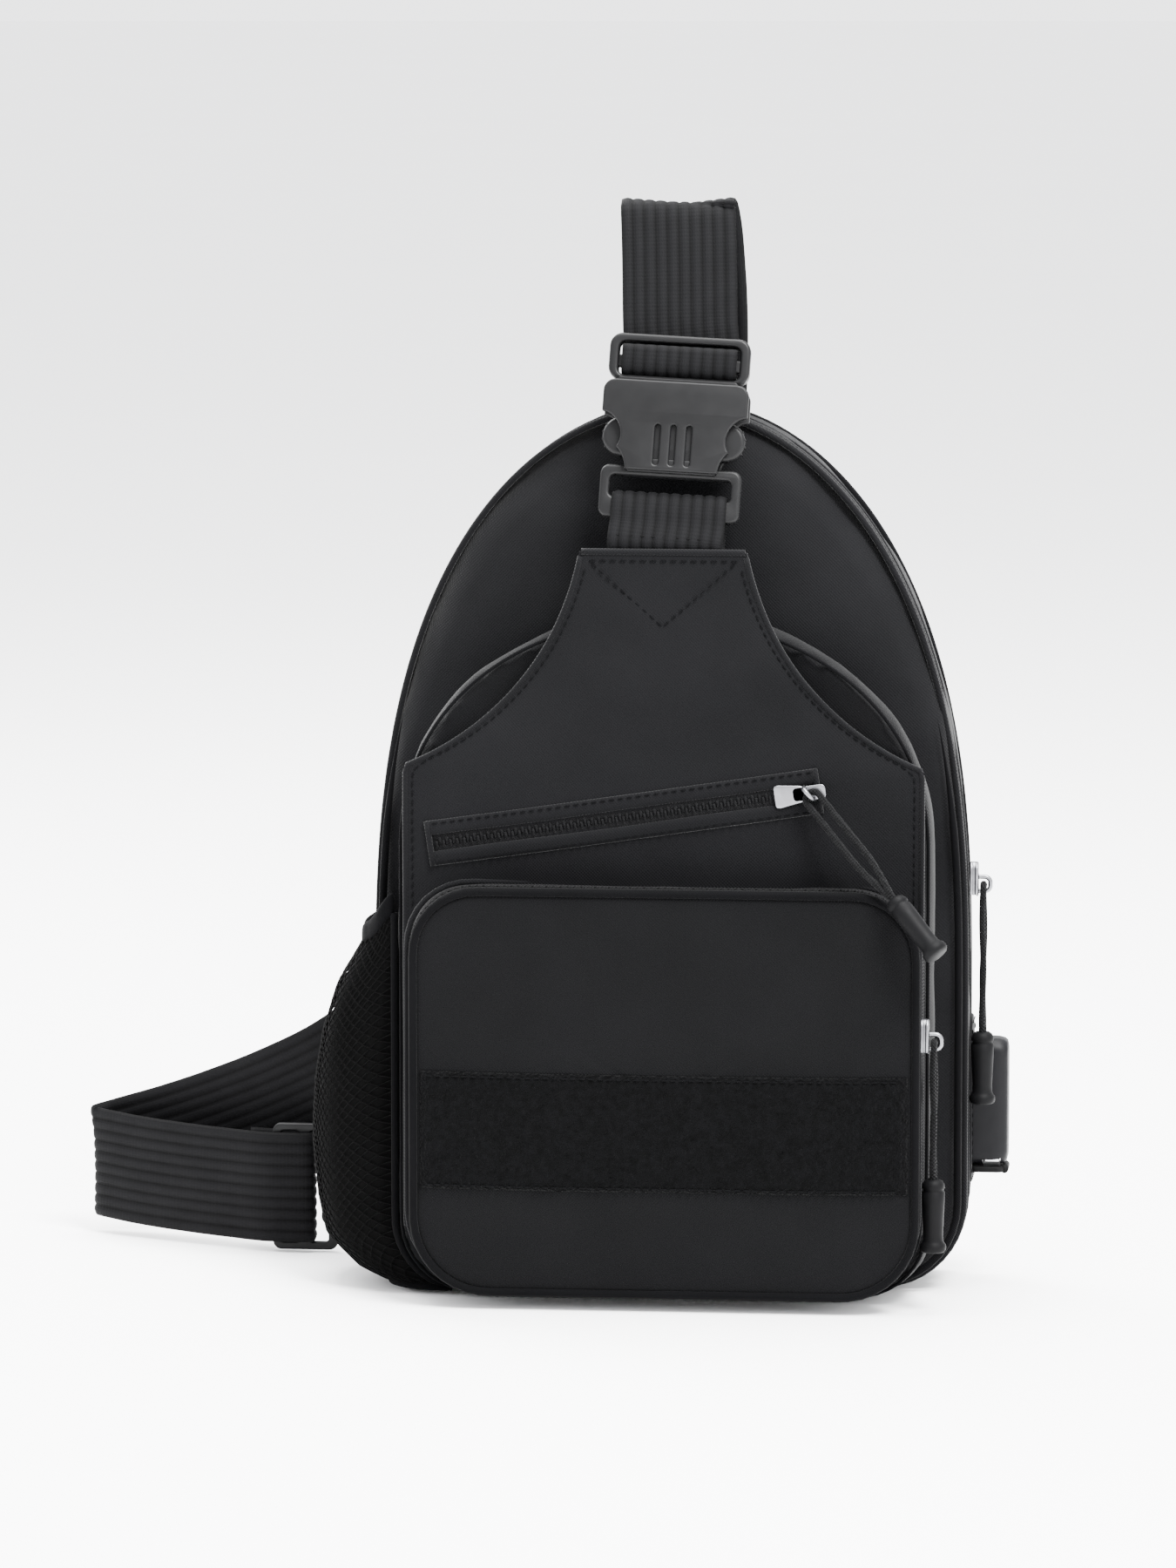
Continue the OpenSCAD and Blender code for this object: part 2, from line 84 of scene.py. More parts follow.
# ---------------------------------------------------------------- materials
class Nodes:
    """A short way to write a procedural material."""

    def __init__(self, name, base, rough, **sockets):
        self.material = bpy.data.materials.new(name)
        self.material.use_nodes = True
        self.tree = self.material.node_tree
        self.shader = self.tree.nodes["Principled BSDF"]
        self.shader.inputs["Base Color"].default_value = (*base, 1)
        self.shader.inputs["Roughness"].default_value = rough
        for key, value in sockets.items():
            self.shader.inputs[key.replace("_", " ")].default_value = value
        self.base = base
        self.coords = self.add("ShaderNodeTexCoord").outputs["Object"]

    def add(self, kind, **settings):
        node = self.tree.nodes.new(kind)
        for key, value in settings.items():
            setattr(node, key, value)
        return node

    def join(self, source, target):
        self.tree.links.new(source, target)

    def math(self, operation, a, b=None):
        node = self.add("ShaderNodeMath", operation=operation)
        for socket, value in zip(node.inputs, (a, b)):
            if value is None:
                continue
            if isinstance(value, (int, float)):
                socket.default_value = value
            else:
                self.join(value, socket)
        return node.outputs[0]

    def noise(self, scale, detail=4, coords=None):
        node = self.add("ShaderNodeTexNoise")
        node.inputs["Scale"].default_value = scale
        node.inputs["Detail"].default_value = detail
        self.join(coords or self.coords, node.inputs["Vector"])
        return node.outputs["Fac"]

    def ramp(self, fac, low, high, start=0.3, end=0.7):
        node = self.add("ShaderNodeValToRGB")
        first, last = node.color_ramp.elements
        first.position, last.position = start, end
        first.color, last.color = (*low, 1), (*high, 1)
        self.join(fac, node.inputs["Fac"])
        return node.outputs["Color"]

    def tint(self, fac, dark, light, start=0.3, end=0.7):
        """Base colour varied between dark and light times itself."""
        low = [c * dark for c in self.base]
        high = [c * light for c in self.base]
        self.join(self.ramp(fac, low, high, start, end), self.shader.inputs["Base Color"])

    def vary_roughness(self, fac, low, high):
        node = self.add("ShaderNodeMapRange")
        node.inputs["To Min"].default_value = low
        node.inputs["To Max"].default_value = high
        self.join(fac, node.inputs["Value"])
        self.join(node.outputs["Result"], self.shader.inputs["Roughness"])

    def bump(self, *layers):
        """Each layer is (height, strength, depth in metres)."""
        normal = None
        for height, strength, depth in layers:
            node = self.add("ShaderNodeBump")
            node.inputs["Strength"].default_value = strength
            node.inputs["Distance"].default_value = depth
            self.join(height, node.inputs["Height"])
            if normal:
                self.join(normal, node.inputs["Normal"])
            normal = node.outputs["Normal"]
        self.join(normal, self.shader.inputs["Normal"])

    def weave(self, pitch):
        """Plain weave over any surface: crossed waves picked by the direction that it faces."""
        split = self.add("ShaderNodeSeparateXYZ")
        self.join(self.coords, split.inputs[0])
        waves = [self.math("SINE", self.math("MULTIPLY", split.outputs[i], 2 * math.pi / pitch)) for i in range(3)]
        facing = self.add("ShaderNodeSeparateXYZ")
        self.join(self.add("ShaderNodeNewGeometry").outputs["Normal"], facing.inputs[0])
        total = 0.5
        for i in range(3):
            crossed = self.math("MULTIPLY", waves[(i + 1) % 3], waves[(i + 2) % 3])
            share = self.math("MULTIPLY", facing.outputs[i], facing.outputs[i])
            total = self.math("ADD", self.math("MULTIPLY", crossed, share), total)
        return total

    def uv_wave(self, axis, pitch, power=1):
        """Wave along one UV axis; UVs are in metres along and across webbing."""
        split = self.add("ShaderNodeSeparateXYZ")
        self.join(self.add("ShaderNodeTexCoord").outputs["UV"], split.inputs[0])
        wave = self.math("SINE", self.math("MULTIPLY", split.outputs[axis], 2 * math.pi / pitch))
        return self.math("POWER", self.math("ABSOLUTE", wave), power)


def nylon(name, base, rough=0.76, pitch=0.0011, sheen=0.05):
    m = Nodes(name, base, rough, Sheen_Weight=sheen, Sheen_Roughness=0.45, Specular_IOR_Level=0.034)
    cloudy = m.noise(22, 5)
    fine = m.noise(900, 3)
    m.tint(cloudy, 0.82, 1.22)
    m.vary_roughness(m.noise(60, 4), rough - 0.07, rough + 0.1)
    m.bump((m.weave(pitch), 0.32, 0.00025), (fine, 0.18, 0.0002), (m.noise(38, 4), 0.3, 0.0016))
    return m.material


def loop_pile():
    """Fuzzy curls that a hook patch sticks to."""
    m = Nodes("loop_pile", (0.0005, 0.0005, 0.0006), 0.95, Sheen_Weight=0.01, Sheen_Roughness=0.7,
              Specular_IOR_Level=0.01)
    curls = m.add("ShaderNodeTexVoronoi")
    curls.inputs["Scale"].default_value = 1100
    m.join(m.coords, curls.inputs["Vector"])
    m.tint(m.noise(420, 6), 0.35, 1.9)
    m.bump((curls.outputs["Distance"], 0.8, 0.0007), (m.noise(520, 6), 0.9, 0.0012))
    return m.material


def webbing():
    """Twill with lengthwise ribs; painted highlight lightens the ribs' crests and painted shade darkens the grooves,
    over random wear.
    """
    m = Nodes("webbing", (0.0016, 0.0016, 0.0018), 0.74, Sheen_Weight=0.02, Sheen_Roughness=0.4,
              Specular_IOR_Level=0.05)
    picks = m.uv_wave(0, 0.0026)
    twill = m.math("MULTIPLY", picks, m.uv_wave(1, 0.0017))
    ribs = m.uv_wave(1, 0.0076, 0.8)
    worn = m.math("MULTIPLY", m.noise(140, 5), 0.4)
    # Painted light and shade: the ribs' crests lighter, the grooves between them darker, with random wear on top
    m.tint(m.math("ADD", m.math("MULTIPLY", ribs, 0.75), worn), 0.35, 1.75, 0.2, 1.0)
    m.vary_roughness(m.noise(90, 4), 0.66, 0.82)
    m.bump((twill, 0.35, 0.00015), (m.noise(1300, 3), 0.25, 0.0002))
    return m.material


def plastic(name, base, rough=0.4, shine=0.15):
    m = Nodes(name, base, rough, Specular_IOR_Level=shine)
    m.tint(m.noise(45, 5), 0.85, 1.15)
    m.vary_roughness(m.noise(220, 5), rough - 0.08, rough + 0.12)
    m.bump((m.noise(2600, 3), 0.12, 0.0001), (m.noise(90, 3), 0.08, 0.0005))
    return m.material


def metal(name, base, rough=0.24):
    m = Nodes(name, base, rough, Metallic=1.0)
    m.tint(m.noise(260, 5), 0.8, 1.1)
    m.vary_roughness(m.noise(500, 5), rough - 0.08, rough + 0.2)
    m.bump((m.noise(1500, 3), 0.1, 0.0001))
    return m.material


def braid():
    m = Nodes("braid", (0.0022, 0.0022, 0.0024), 0.8, Sheen_Weight=0.02, Specular_IOR_Level=0.04)
    m.tint(m.noise(500, 4), 0.7, 1.3)
    m.bump((m.weave(0.0012), 0.8, 0.0004), (m.noise(1500, 3), 0.3, 0.0002))
    return m.material


def zip_tape():
    m = Nodes("zip_tape", (0.0018, 0.0018, 0.002), 0.75, Sheen_Weight=0.02, Specular_IOR_Level=0.05)
    m.tint(m.noise(200, 4), 0.8, 1.25)
    m.bump((m.weave(0.0009), 0.5, 0.0003), (m.noise(1200, 3), 0.2, 0.0002))
    return m.material


def spacer_mesh():
    m = Nodes("spacer_mesh", (0.0024, 0.0024, 0.0026), 0.85, Sheen_Weight=0.02, Specular_IOR_Level=0.04)
    cells = m.add("ShaderNodeTexVoronoi", feature="SMOOTH_F1")
    cells.inputs["Scale"].default_value = 350
    cells.inputs["Randomness"].default_value = 0.12
    m.join(m.coords, cells.inputs["Vector"])
    # Painted light and shade: the raised cell middles lighter, the recessed edges between cells darker
    m.tint(cells.outputs["Distance"], 1.35, 0.45, 0.2, 0.6)
    m.bump((m.math("SUBTRACT", 1.0, cells.outputs["Distance"]), 0.9, 0.0012), (m.noise(1300, 3), 0.2, 0.0002))
    return m.material


LOOKS = {
    "nylon": nylon("nylon", (0.0019, 0.0019, 0.0022)),
    # A darker copy of the nylon: painted shade on the lower pocket and the middle compartment
    "nylon_painted_shade": nylon("nylon_painted_shade", (0.0011, 0.0011, 0.0013)),
    "air_mesh": spacer_mesh(),
    "lining": nylon("lining", (0.02, 0.02, 0.022), 0.5, 0.0008, 0.05),
    "board": plastic("board", (0.02, 0.02, 0.02), 0.6),
    "piping": nylon("piping", (0.0008, 0.0008, 0.0010), 0.82, 0.0008, 0.01),
    "zip_tape": zip_tape(),
    "loop_pile": loop_pile(),
    "mesh": nylon("mesh", (0.0009, 0.0009, 0.0009), 0.8, 0.0007, 0.01),
    "housing_plastic": plastic("housing_plastic", (0.0022, 0.0022, 0.0027), 0.45, 0.08),
    "usb_metal": metal("usb_metal", (0.55, 0.55, 0.57), 0.3),
    "rubber": plastic("rubber", (0.0016, 0.0016, 0.0017), 0.6, 0.06),
    "webbing": webbing(),
    "buckle_plastic": plastic("buckle_plastic", (0.0034, 0.0034, 0.0036), 0.4, 0.11),
    "slider_metal": metal("slider_metal", (0.17, 0.17, 0.18), 0.27),
    "cord": braid(),
    "toggle_rubber": plastic("toggle_rubber", (0.0016, 0.0016, 0.0018), 0.55, 0.05),
}


# ---------------------------------------------------------------- building pieces
def mesh_piece(name, points, faces, look, body="bag", smooth=True, uvs=None, matrix=None):
    """A new piece from points in millimetres, with its look and body."""
    mesh = bpy.data.meshes.new(name)
    turn = matrix or Matrix.Identity(4)
    mesh.from_pydata([(turn @ Vector(p)) * MM for p in points], [], faces)
    if uvs:
        layer = mesh.uv_layers.new(name="UVMap")
        for loop in mesh.loops:
            layer.data[loop.index].uv = uvs[loop.vertex_index]
    tidy_normals(mesh)
    for polygon in mesh.polygons:
        polygon.use_smooth = smooth
    mesh.materials.append(LOOKS[look])
    obj = bpy.data.objects.new(name, mesh)
    bpy.context.scene.collection.objects.link(obj)
    if body:
        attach(obj, body)
    return obj


def tidy_normals(mesh):
    work = bmesh.new()
    work.from_mesh(mesh)
    bmesh.ops.remove_doubles(work, verts=work.verts, dist=1e-7)
    bmesh.ops.recalc_face_normals(work, faces=work.faces)
    work.to_mesh(mesh)
    work.free()


def soften(obj, levels=1):
    smooth = obj.modifiers.new("soften", "SUBSURF")
    smooth.levels = smooth.render_levels = levels
    return obj


def thicken(obj, thickness, offset=-1):
    """Gives cloth its thickness in millimetres; offset -1 grows it inward, 0 both ways."""
    thick = obj.modifiers.new("thick", "SOLIDIFY")
    thick.thickness = thickness * MM
    thick.offset = offset


def round_edges(obj, width, segments=3, angle=35):
    bevel = obj.modifiers.new("round", "BEVEL")
    bevel.width = width * MM
    bevel.segments = segments
    bevel.limit_method = "ANGLE"
    bevel.angle_limit = math.radians(angle)
    return obj


def bridge_rings(count, size, closed_ends=True):
    """Faces between rings of points that follow each other, with flat ends."""
    faces = [(i * size + k, i * size + (k + 1) % size, (i + 1) * size + (k + 1) % size, (i + 1) * size + k)
             for i in range(count - 1) for k in range(size)]
    if closed_ends:
        faces.append(tuple(range(size)))
        faces.append(tuple(range((count - 1) * size, count * size)))
    return faces


def grid_faces(columns, rows):
    """Faces of a grid whose points run along each row in turn."""
    return [(a, a + 1, a + columns + 2, a + columns + 1) for j in range(rows) for i in range(columns)
            for a in [j * (columns + 1) + i]]


def turned(axis, degrees):
    return Matrix.Rotation(math.radians(degrees), 4, axis)


def lerp(a, b, t):
    return a + (b - a) * t


def ease(value, low, high):
    """0 below low, 1 above high and smooth between them."""
    t = min(1.0, max(0.0, (value - low) / (high - low)))
    return t * t * (3 - 2 * t)


def evenly(points, count, closed=True):
    """The same outline or route with evenly spaced points."""
    path = [Vector(p) for p in points]
    if closed:
        path.append(path[0].copy())
    reach = [0.0]
    for a, b in zip(path, path[1:]):
        reach.append(reach[-1] + (b - a).length)
    steps = count if closed else count - 1
    out, k = [], 0
    for i in range(count):
        goal = reach[-1] * i / steps
        while k < len(path) - 2 and reach[k + 1] < goal:
            k += 1
        span = reach[k + 1] - reach[k] or 1.0
        out.append(path[k].lerp(path[k + 1], (goal - reach[k]) / span))
    return out


def curve_through(points, per_span=8):
    """Smooth route through a few points."""
    p = [Vector(v) for v in points]
    p = [2 * p[0] - p[1]] + p + [2 * p[-1] - p[-2]]
    out = []
    for i in range(1, len(p) - 2):
        for k in range(per_span):
            t = k / per_span
            a, b, c, d = p[i - 1], p[i], p[i + 1], p[i + 2]
            out.append(0.5 * (2 * b + (c - a) * t + (2 * a - 5 * b + 4 * c - d) * t ** 2
                              + (3 * b - a - 3 * c + d) * t ** 3))
    return out + [p[-2]]


def tube_points(route, radius, sides=8, closed=False):
    """Rings of a round tube, carried along the route without twisting."""
    n = len(route)
    points = []
    side = None
    for i, at in enumerate(route):
        after = route[(i + 1) % n] if closed else route[min(i + 1, n - 1)]
        before = route[i - 1] if closed or i else route[0]
        along = (after - before).normalized()
        if side is None:
            side = along.orthogonal().normalized()
        side = (side - along * side.dot(along)).normalized()
        other = along.cross(side)
        r = radius(i / (n - 1)) if callable(radius) else radius
        points += [at + (side * math.cos(a) + other * math.sin(a)) * r
                   for a in (2 * math.pi * k / sides for k in range(sides))]
    return points


def tube(name, route, radius, look, body="bag", sides=8, closed=False, matrix=None):
    n = len(route)
    faces = bridge_rings(n, sides, not closed)
    if closed:
        # The last ring meets the first where their points lie nearest
        points = tube_points(route, radius, sides, True)
        first, last = points[:sides], points[-sides:]
        turn = min(range(sides), key=lambda s: (first[s] - last[0]).length)
        faces += [((n - 1) * sides + k, (n - 1) * sides + (k + 1) % sides,
                   (k + 1 + turn) % sides, (k + turn) % sides) for k in range(sides)]
    else:
        points = tube_points(route, radius, sides)
    return mesh_piece(name, points, faces, look, body, matrix=matrix)


def stitches(name, routes, look="piping", body="bag", pitch=3.3, length=2.3, radius=0.36, matrix=None):
    """Rows of short raised stitches along routes."""
    points, faces = [], []
    for route in routes:
        total = sum((b - a).length for a, b in zip(route, route[1:]))
        spots = evenly(route, max(3, int(total / pitch)), closed=False)
        for a, b in zip(spots, spots[1:]):
            along = (b - a).normalized()
            middle = (a + b) / 2
            line = [middle + along * (t * length / 2) for t in (-1, -0.6, 0, 0.6, 1)]
            swell = [0.25, 0.8, 1.0, 0.8, 0.25]
            base = len(points)
            ring = tube_points(line, 1.0, 6)
            for i in range(5):
                points += [line[i] + (ring[i * 6 + k] - line[i]) * radius * swell[i] for k in range(6)]
            faces += [tuple(base + v for v in face) for face in bridge_rings(5, 6)]
    return mesh_piece(name, points, faces, look, body, matrix=matrix)


def flat_plate(name, loops, y0, y1, bevel, look, body="bag", matrix=None, segments=3):
    """A plate of closed (x, z) outlines, the later ones holes, with rounded rims."""
    data = bpy.data.curves.new(name, "CURVE")
    data.dimensions = "2D"
    data.fill_mode = "BOTH"
    data.extrude = (y1 - y0) / 2 - bevel
    data.bevel_depth = bevel
    data.bevel_resolution = segments
    data.offset = -bevel
    for loop in loops:
        spline = data.splines.new("POLY")
        spline.points.add(len(loop) - 1)
        for point, (x, z) in zip(spline.points, loop):
            point.co = (x, z, 0, 1)
        spline.use_cyclic_u = True
    holder = bpy.data.objects.new(name + "_outline", data)
    bpy.context.scene.collection.objects.link(holder)
    raw = bpy.data.meshes.new_from_object(holder.evaluated_get(bpy.context.evaluated_depsgraph_get()))
    bpy.data.objects.remove(holder)
    points = [(v.co.x, (y0 + y1) / 2 - v.co.z, v.co.y) for v in raw.vertices]
    faces = [tuple(p.vertices) for p in raw.polygons]
    bpy.data.meshes.remove(raw)
    obj = mesh_piece(name, points, faces, look, body, matrix=matrix)
    shade_by_angle(obj)
    return obj


def shade_by_angle(obj, degrees=40):
    work = bmesh.new()
    work.from_mesh(obj.data)
    bmesh.ops.remove_doubles(work, verts=work.verts, dist=2e-6)
    for edge in work.edges:
        if len(edge.link_faces) == 2:
            edge.smooth = edge.calc_face_angle(0) < math.radians(degrees)
    work.to_mesh(obj.data)
    work.free()


def joined(name, *pieces):
    """One piece made of several that share a body."""
    first = pieces[0]
    work = bmesh.new()
    for p in pieces:
        mesh = p.data
        if p.modifiers:
            graph = bpy.context.evaluated_depsgraph_get()
            mesh = bpy.data.meshes.new_from_object(p.evaluated_get(graph))
        work.from_mesh(mesh)
    first.modifiers.clear()
    work.to_mesh(first.data)
    work.free()
    for p in pieces[1:]:
        bpy.data.objects.remove(p)
    first.name = first.data.name = name
    return first


def corner_arc(x, z, radius, start, steps):
    """A quarter circle about (x, z), from an angle in degrees."""
    return [(x + radius * math.cos(a), z + radius * math.sin(a))
            for a in (math.radians(start + 90 * i / steps) for i in range(steps + 1))]


def rounded_box(half_x, z0, z1, radius, steps=6, centre=0):
    """Outline of a rectangle with round corners."""
    out = []
    for cx, cz, start in ((half_x - radius, z0 + radius, -90), (half_x - radius, z1 - radius, 0),
                          (-half_x + radius, z1 - radius, 90), (-half_x + radius, z0 + radius, 180)):
        out += corner_arc(centre + cx, cz, radius, start, steps)
    return out


# ---------------------------------------------------------------- the bag's outlines, as in the CAD frame
BODY = dict(half=98, low=1.5, spring=100, top=294, power=2.6, corner=28)
FRONT = dict(half=88, low=1.5, spring=150, top=228, power=2.2, corner=24)
YOKE_C, YOKE_R = (120.5, 265.8), 94.3
MAIN_ZIP_Y = 12
# The slanted opening: its middle, its angle and its rise along the panel
SLANT_X, SLANT_Z, SLANT_DEGREES, SLANT_RISE = -12.6, 162, 8.5, 0.149
PANEL_HALF, PANEL_LOW, PANEL_CORNER, YOKE_TOP = 86, 3, 24, 249.5


def arch(half, low, spring, top, power, corner, grow=0, steps=48):
    """Outline with round lower corners, straight sides up to spring and a domed top."""
    side = corner_arc(half - corner, low + corner, corner + grow, -90, 12)
    for i in range(steps):
        a = math.radians(90 * i / steps)
        side.append(((half + grow) * math.cos(a), spring + (top + grow - spring) * math.sin(a) ** (2 / power)))
    return [(0, low - grow)] + side + [(0, top + grow)] + [(-x, z) for x, z in reversed(side)]


def outline(points, count=128):
    """The same (x, z) outline with evenly spaced points."""
    return [(v.x, v.y) for v in evenly([(x, z, 0) for x, z in points], count)]


def shell(name, loop, rings, centre_z, look):
    """Closed soft shell: each ring is (scale, depth, depth near the top), from the front to the back."""
    points = []
    for scale, low_y, high_y in rings:
        for x, z in loop:
            share = ease(z, 170, 240)
            points.append((x * scale, lerp(low_y, high_y, share), centre_z + (z - centre_z) * scale))
    return mesh_piece(name, points, bridge_rings(len(rings), len(loop)), look)


def crumple(obj, depth, size, seed, keep=None):
    """Soft waves in the cloth, along its normals; keep(co) from 0 to 1 scales them."""
    mesh = obj.data
    normals = [v.normal.copy() for v in mesh.vertices]
    for vertex, normal in zip(mesh.vertices, normals):
        at = vertex.co / (size * MM) + Vector((seed, seed * 1.7, seed * 0.3))
        wave = noise.noise(at) + 0.45 * noise.noise(at * 2.3) + 0.2 * noise.noise(at * 5.1)
        share = keep(vertex.co / MM) if keep else 1.0
        vertex.co += normal * (wave * depth * MM * share)
    mesh.update()


def puff(obj, cap, pinned, voxel=4.5, pressure=4.0, frames=20):
    """Inflates a closed cloth shell a little, by simulation, with its seams held."""
    scene = bpy.context.scene
    remesh = obj.modifiers.new("remesh", "REMESH")
    remesh.mode = "VOXEL"
    remesh.voxel_size = voxel * MM
    remesh.use_smooth_shade = True
    settle(obj)
    start = [v.co.copy() for v in obj.data.vertices]
    group = obj.vertex_groups.new(name="seams")
    for vertex in obj.data.vertices:
        share = pinned(vertex.co / MM)
        if share > 0:
            group.add([vertex.index], share, "REPLACE")
    cloth = obj.modifiers.new("cloth", "CLOTH")
    cloth.settings.quality = 6
    cloth.settings.mass = 0.3
    cloth.settings.tension_stiffness = cloth.settings.compression_stiffness = 18
    cloth.settings.bending_stiffness = 0.6
    cloth.settings.use_pressure = True
    cloth.settings.uniform_pressure_force = pressure
    cloth.settings.vertex_group_mass = "seams"
    cloth.settings.effector_weights.gravity = 0
    cloth.collision_settings.use_collision = False
    cloth.point_cache.frame_start = 1
    cloth.point_cache.frame_end = frames
    for number in range(1, frames + 1):
        scene.frame_set(number)
    settle(obj)
    scene.frame_set(1)
    limit = cap * MM
    for vertex, before in zip(obj.data.vertices, start):
        move = vertex.co - before
        if move.length > limit:
            vertex.co = before + move.normalized() * limit
    obj.data.update()
    for polygon in obj.data.polygons:
        polygon.use_smooth = True
    return soften(obj)


def settle(obj):
    """Applies every modifier of a piece."""
    graph = bpy.context.evaluated_depsgraph_get()
    mesh = bpy.data.meshes.new_from_object(obj.evaluated_get(graph))
    obj.modifiers.clear()
    old = obj.data
    obj.data = mesh
    mesh.name = old.name
    bpy.data.meshes.remove(old)
    if not mesh.materials:
        mesh.materials.append(LOOKS["nylon"])


# ---------------------------------------------------------------- bag shell
def near(value, target, width):
    """1 at the target, falling to 0 at a width from it."""
    return max(0.0, 1 - abs(value - target) / width)


def body_shell():
    """Main compartment, domed in front and flat behind, and the panel under it."""
    rings = [(0.03, -6, -7), (0.25, -6, -7), (0.5, -5.5, -6.5), (0.7, -4, -5.5), (0.84, -2.2, -3.5),
             (0.93, -0.6, 0), (0.975, 0.4, 4), (0.998, 2.4, 9.5), (1.004, 9, 15), (1.004, 18, 21), (1.004, 30, 31),
             (1.003, 38, 38), (1.0, 40.8, 40.8), (0.988, 43, 43)]
    rings += [(scale, 43.6, 43.6) for scale in (0.95, 0.85, 0.5, 0.03)]
    body = shell("main_compartment", outline(arch(**BODY), 144), rings, 128, "nylon")

    def pinned(co):
        rim = 1 if co.y > 38 else 0
        return max(rim, near(co.z, 1.5, 5), 0.15)

    puff(body, 3.5, pinned)
    crumple(body, 1.7, 44, 3, lambda co: ease(co.z, 4, 40) * (1 - 0.7 * ease(co.y, 36, 42)))
    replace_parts(body, "main_gusset", "dome_front_panel", "back_panel")

    base = flat_plate("bottom_panel", [rounded_box(66, -41, 23, 14)], 0.0, 1.6, 0.5, "nylon", matrix=turned("X", 90))
    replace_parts(base, "base_panel")


def front_compartment():
    """The middle compartment, between the main one and the lower pocket."""
    rings = [(0.03, -22.5, -19.5), (0.5, -22.5, -19.5), (0.84, -22, -19), (0.945, -22.2, -19.8),
             (0.978, -23.2, -22.4), (0.996, -23.4, -23.2), (1.004, -21, -21), (1.012, -14, -14),
             (1.008, -7, -7), (1.0, -1, -1), (0.985, 2.5, 3), (0.8, 3, 4), (0.03, 3, 4)]
    part = shell("front_compartment", outline(arch(**FRONT), 128), rings, 110, "nylon")
    puff(part, 2.5, lambda co: max(near(co.y, -23.5, 2.2), near(co.z, 1.5, 5), near(co.y, 3, 4), 0.1))
    crumple(part, 1.1, 32, 8, lambda co: ease(co.z, 4, 30))
    # Painted shade: the middle compartment gets the darker copy of the nylon
    part.data.materials[0] = LOOKS["nylon_painted_shade"]
    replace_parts(part, "front_gusset")


def yoke_width(z):
    """Half width of the Y-shaped panel at a height."""
    if z < PANEL_LOW + PANEL_CORNER:
        drop = PANEL_LOW + PANEL_CORNER - z
        return PANEL_HALF - PANEL_CORNER + math.sqrt(max(0.0, PANEL_CORNER ** 2 - drop ** 2))
    if z < 178:
        return PANEL_HALF
    return YOKE_C[0] - math.sqrt(max(0.0, YOKE_R ** 2 - (YOKE_C[1] - z) ** 2))


def yoke_depth(x, z):
    """How far forward the Y-shaped panel lies; it is full in the middle and drawn in at its top."""
    u = x / yoke_width(z)
    full = ease(z, 0, 70) * (1 - ease(z, 175, 246))
    crown = 3.2 * full * (1 - u * u)
    rims = 0.9 * ease(abs(u), 0.8, 1.0) * ease(z, 175, 200) * (1 - ease(z, 215, 240))
    ripple = 1.9 * noise.noise(Vector((x / 36, z / 25, 4.2))) + 0.6 * noise.noise(Vector((x / 11, z / 15, 1.1)))
    ripple *= 1 - 0.85 * near(z, SLANT_Z + SLANT_RISE * (x - SLANT_X), 20)
    slump = 0.8 * math.sin((x * 0.5 + z) / 13) * ease(z, 178, 200) * (1 - ease(z, 225, 245)) * abs(u)
    return -25.9 - crown + rims - ripple * 0.7 * ease(z, 3, 20) * (1 - ease(z, 236, 248)) + slump


def front_panel():
    """Y-shaped panel over the middle compartment, with its hems and stitches."""
    columns, rows = 44, 110
    points = []
    for j in range(rows + 1):
        z = lerp(PANEL_LOW, YOKE_TOP, j / rows)
        half = yoke_width(max(z, PANEL_LOW + 0.4))
        for i in range(columns + 1):
            u = math.sin(math.radians(-90 + 180 * i / columns))
            points.append((u * half, yoke_depth(u * half, z), z))
    panel = mesh_piece("front_panel_cloth", points, grid_faces(columns, rows), "nylon")
    thicken(panel, 1.5, 0.0)
    round_edges(panel, 0.55, 2, 50)
    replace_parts(panel, "front_panel")

    def edge(side, inset, z0, z1, count=60, proud=0.95):
        out = []
        for k in range(count + 1):
            z = lerp(z0, z1, k / count)
            x = side * (yoke_width(z) - inset)
            out.append(Vector((x, yoke_depth(x, z) - proud, z)))
        return out

    top = [Vector((x, yoke_depth(x, YOKE_TOP - 3) - 0.95, YOKE_TOP - 3)) for x in range(-25, 26, 5)]
    v_shape = [Vector((x, yoke_depth(x, z) - 0.95, z)) for x, z in ((-24, 246), (-12, 235.5), (0, 225))]
    v_shape += [Vector((-p.x, p.y, p.z)) for p in reversed(v_shape[:-1])]
    routes = [edge(s, 3.0, 30, 244) for s in (-1, 1)] + [top, v_shape]
    stitches("front_panel_stitches", routes, pitch=3.0, length=2.2, radius=0.3)
    hems = [tube("hem", edge(s, 0.6, 24, 248, 90, 0.35), 1.0, "nylon") for s in (-1, 1)]
    joined("front_panel_hems", *hems)
    tube("front_panel_top_fold", [Vector((x, -26.2, YOKE_TOP)) for x in range(-27, 28, 3)], 1.15, "nylon")


def tube_along(name, loop, y, radius, look, z_min=-1e9, z_max=1e9):
    """Piping along part of an outline, open where the heights leave the band."""
    inside = [i for i, (x, z) in enumerate(loop) if z_min <= z <= z_max]
    closed = len(inside) == len(loop)
    if closed:
        route = [Vector((x, y, z)) for x, z in loop]
        return tube(name, route, radius, look, closed=True)
    # The outline runs from the bottom centre round to it again, so start where the gap ends
    n = len(loop)
    start = next(i for i in inside if (i - 1) % n not in set(inside))
    route = []
    i = start
    while z_min <= loop[i % n][1] <= z_max and len(route) < n:
        x, z = loop[i % n]
        route.append(Vector((x, y, z)))
        i += 1
    return tube(name, route, radius, look)


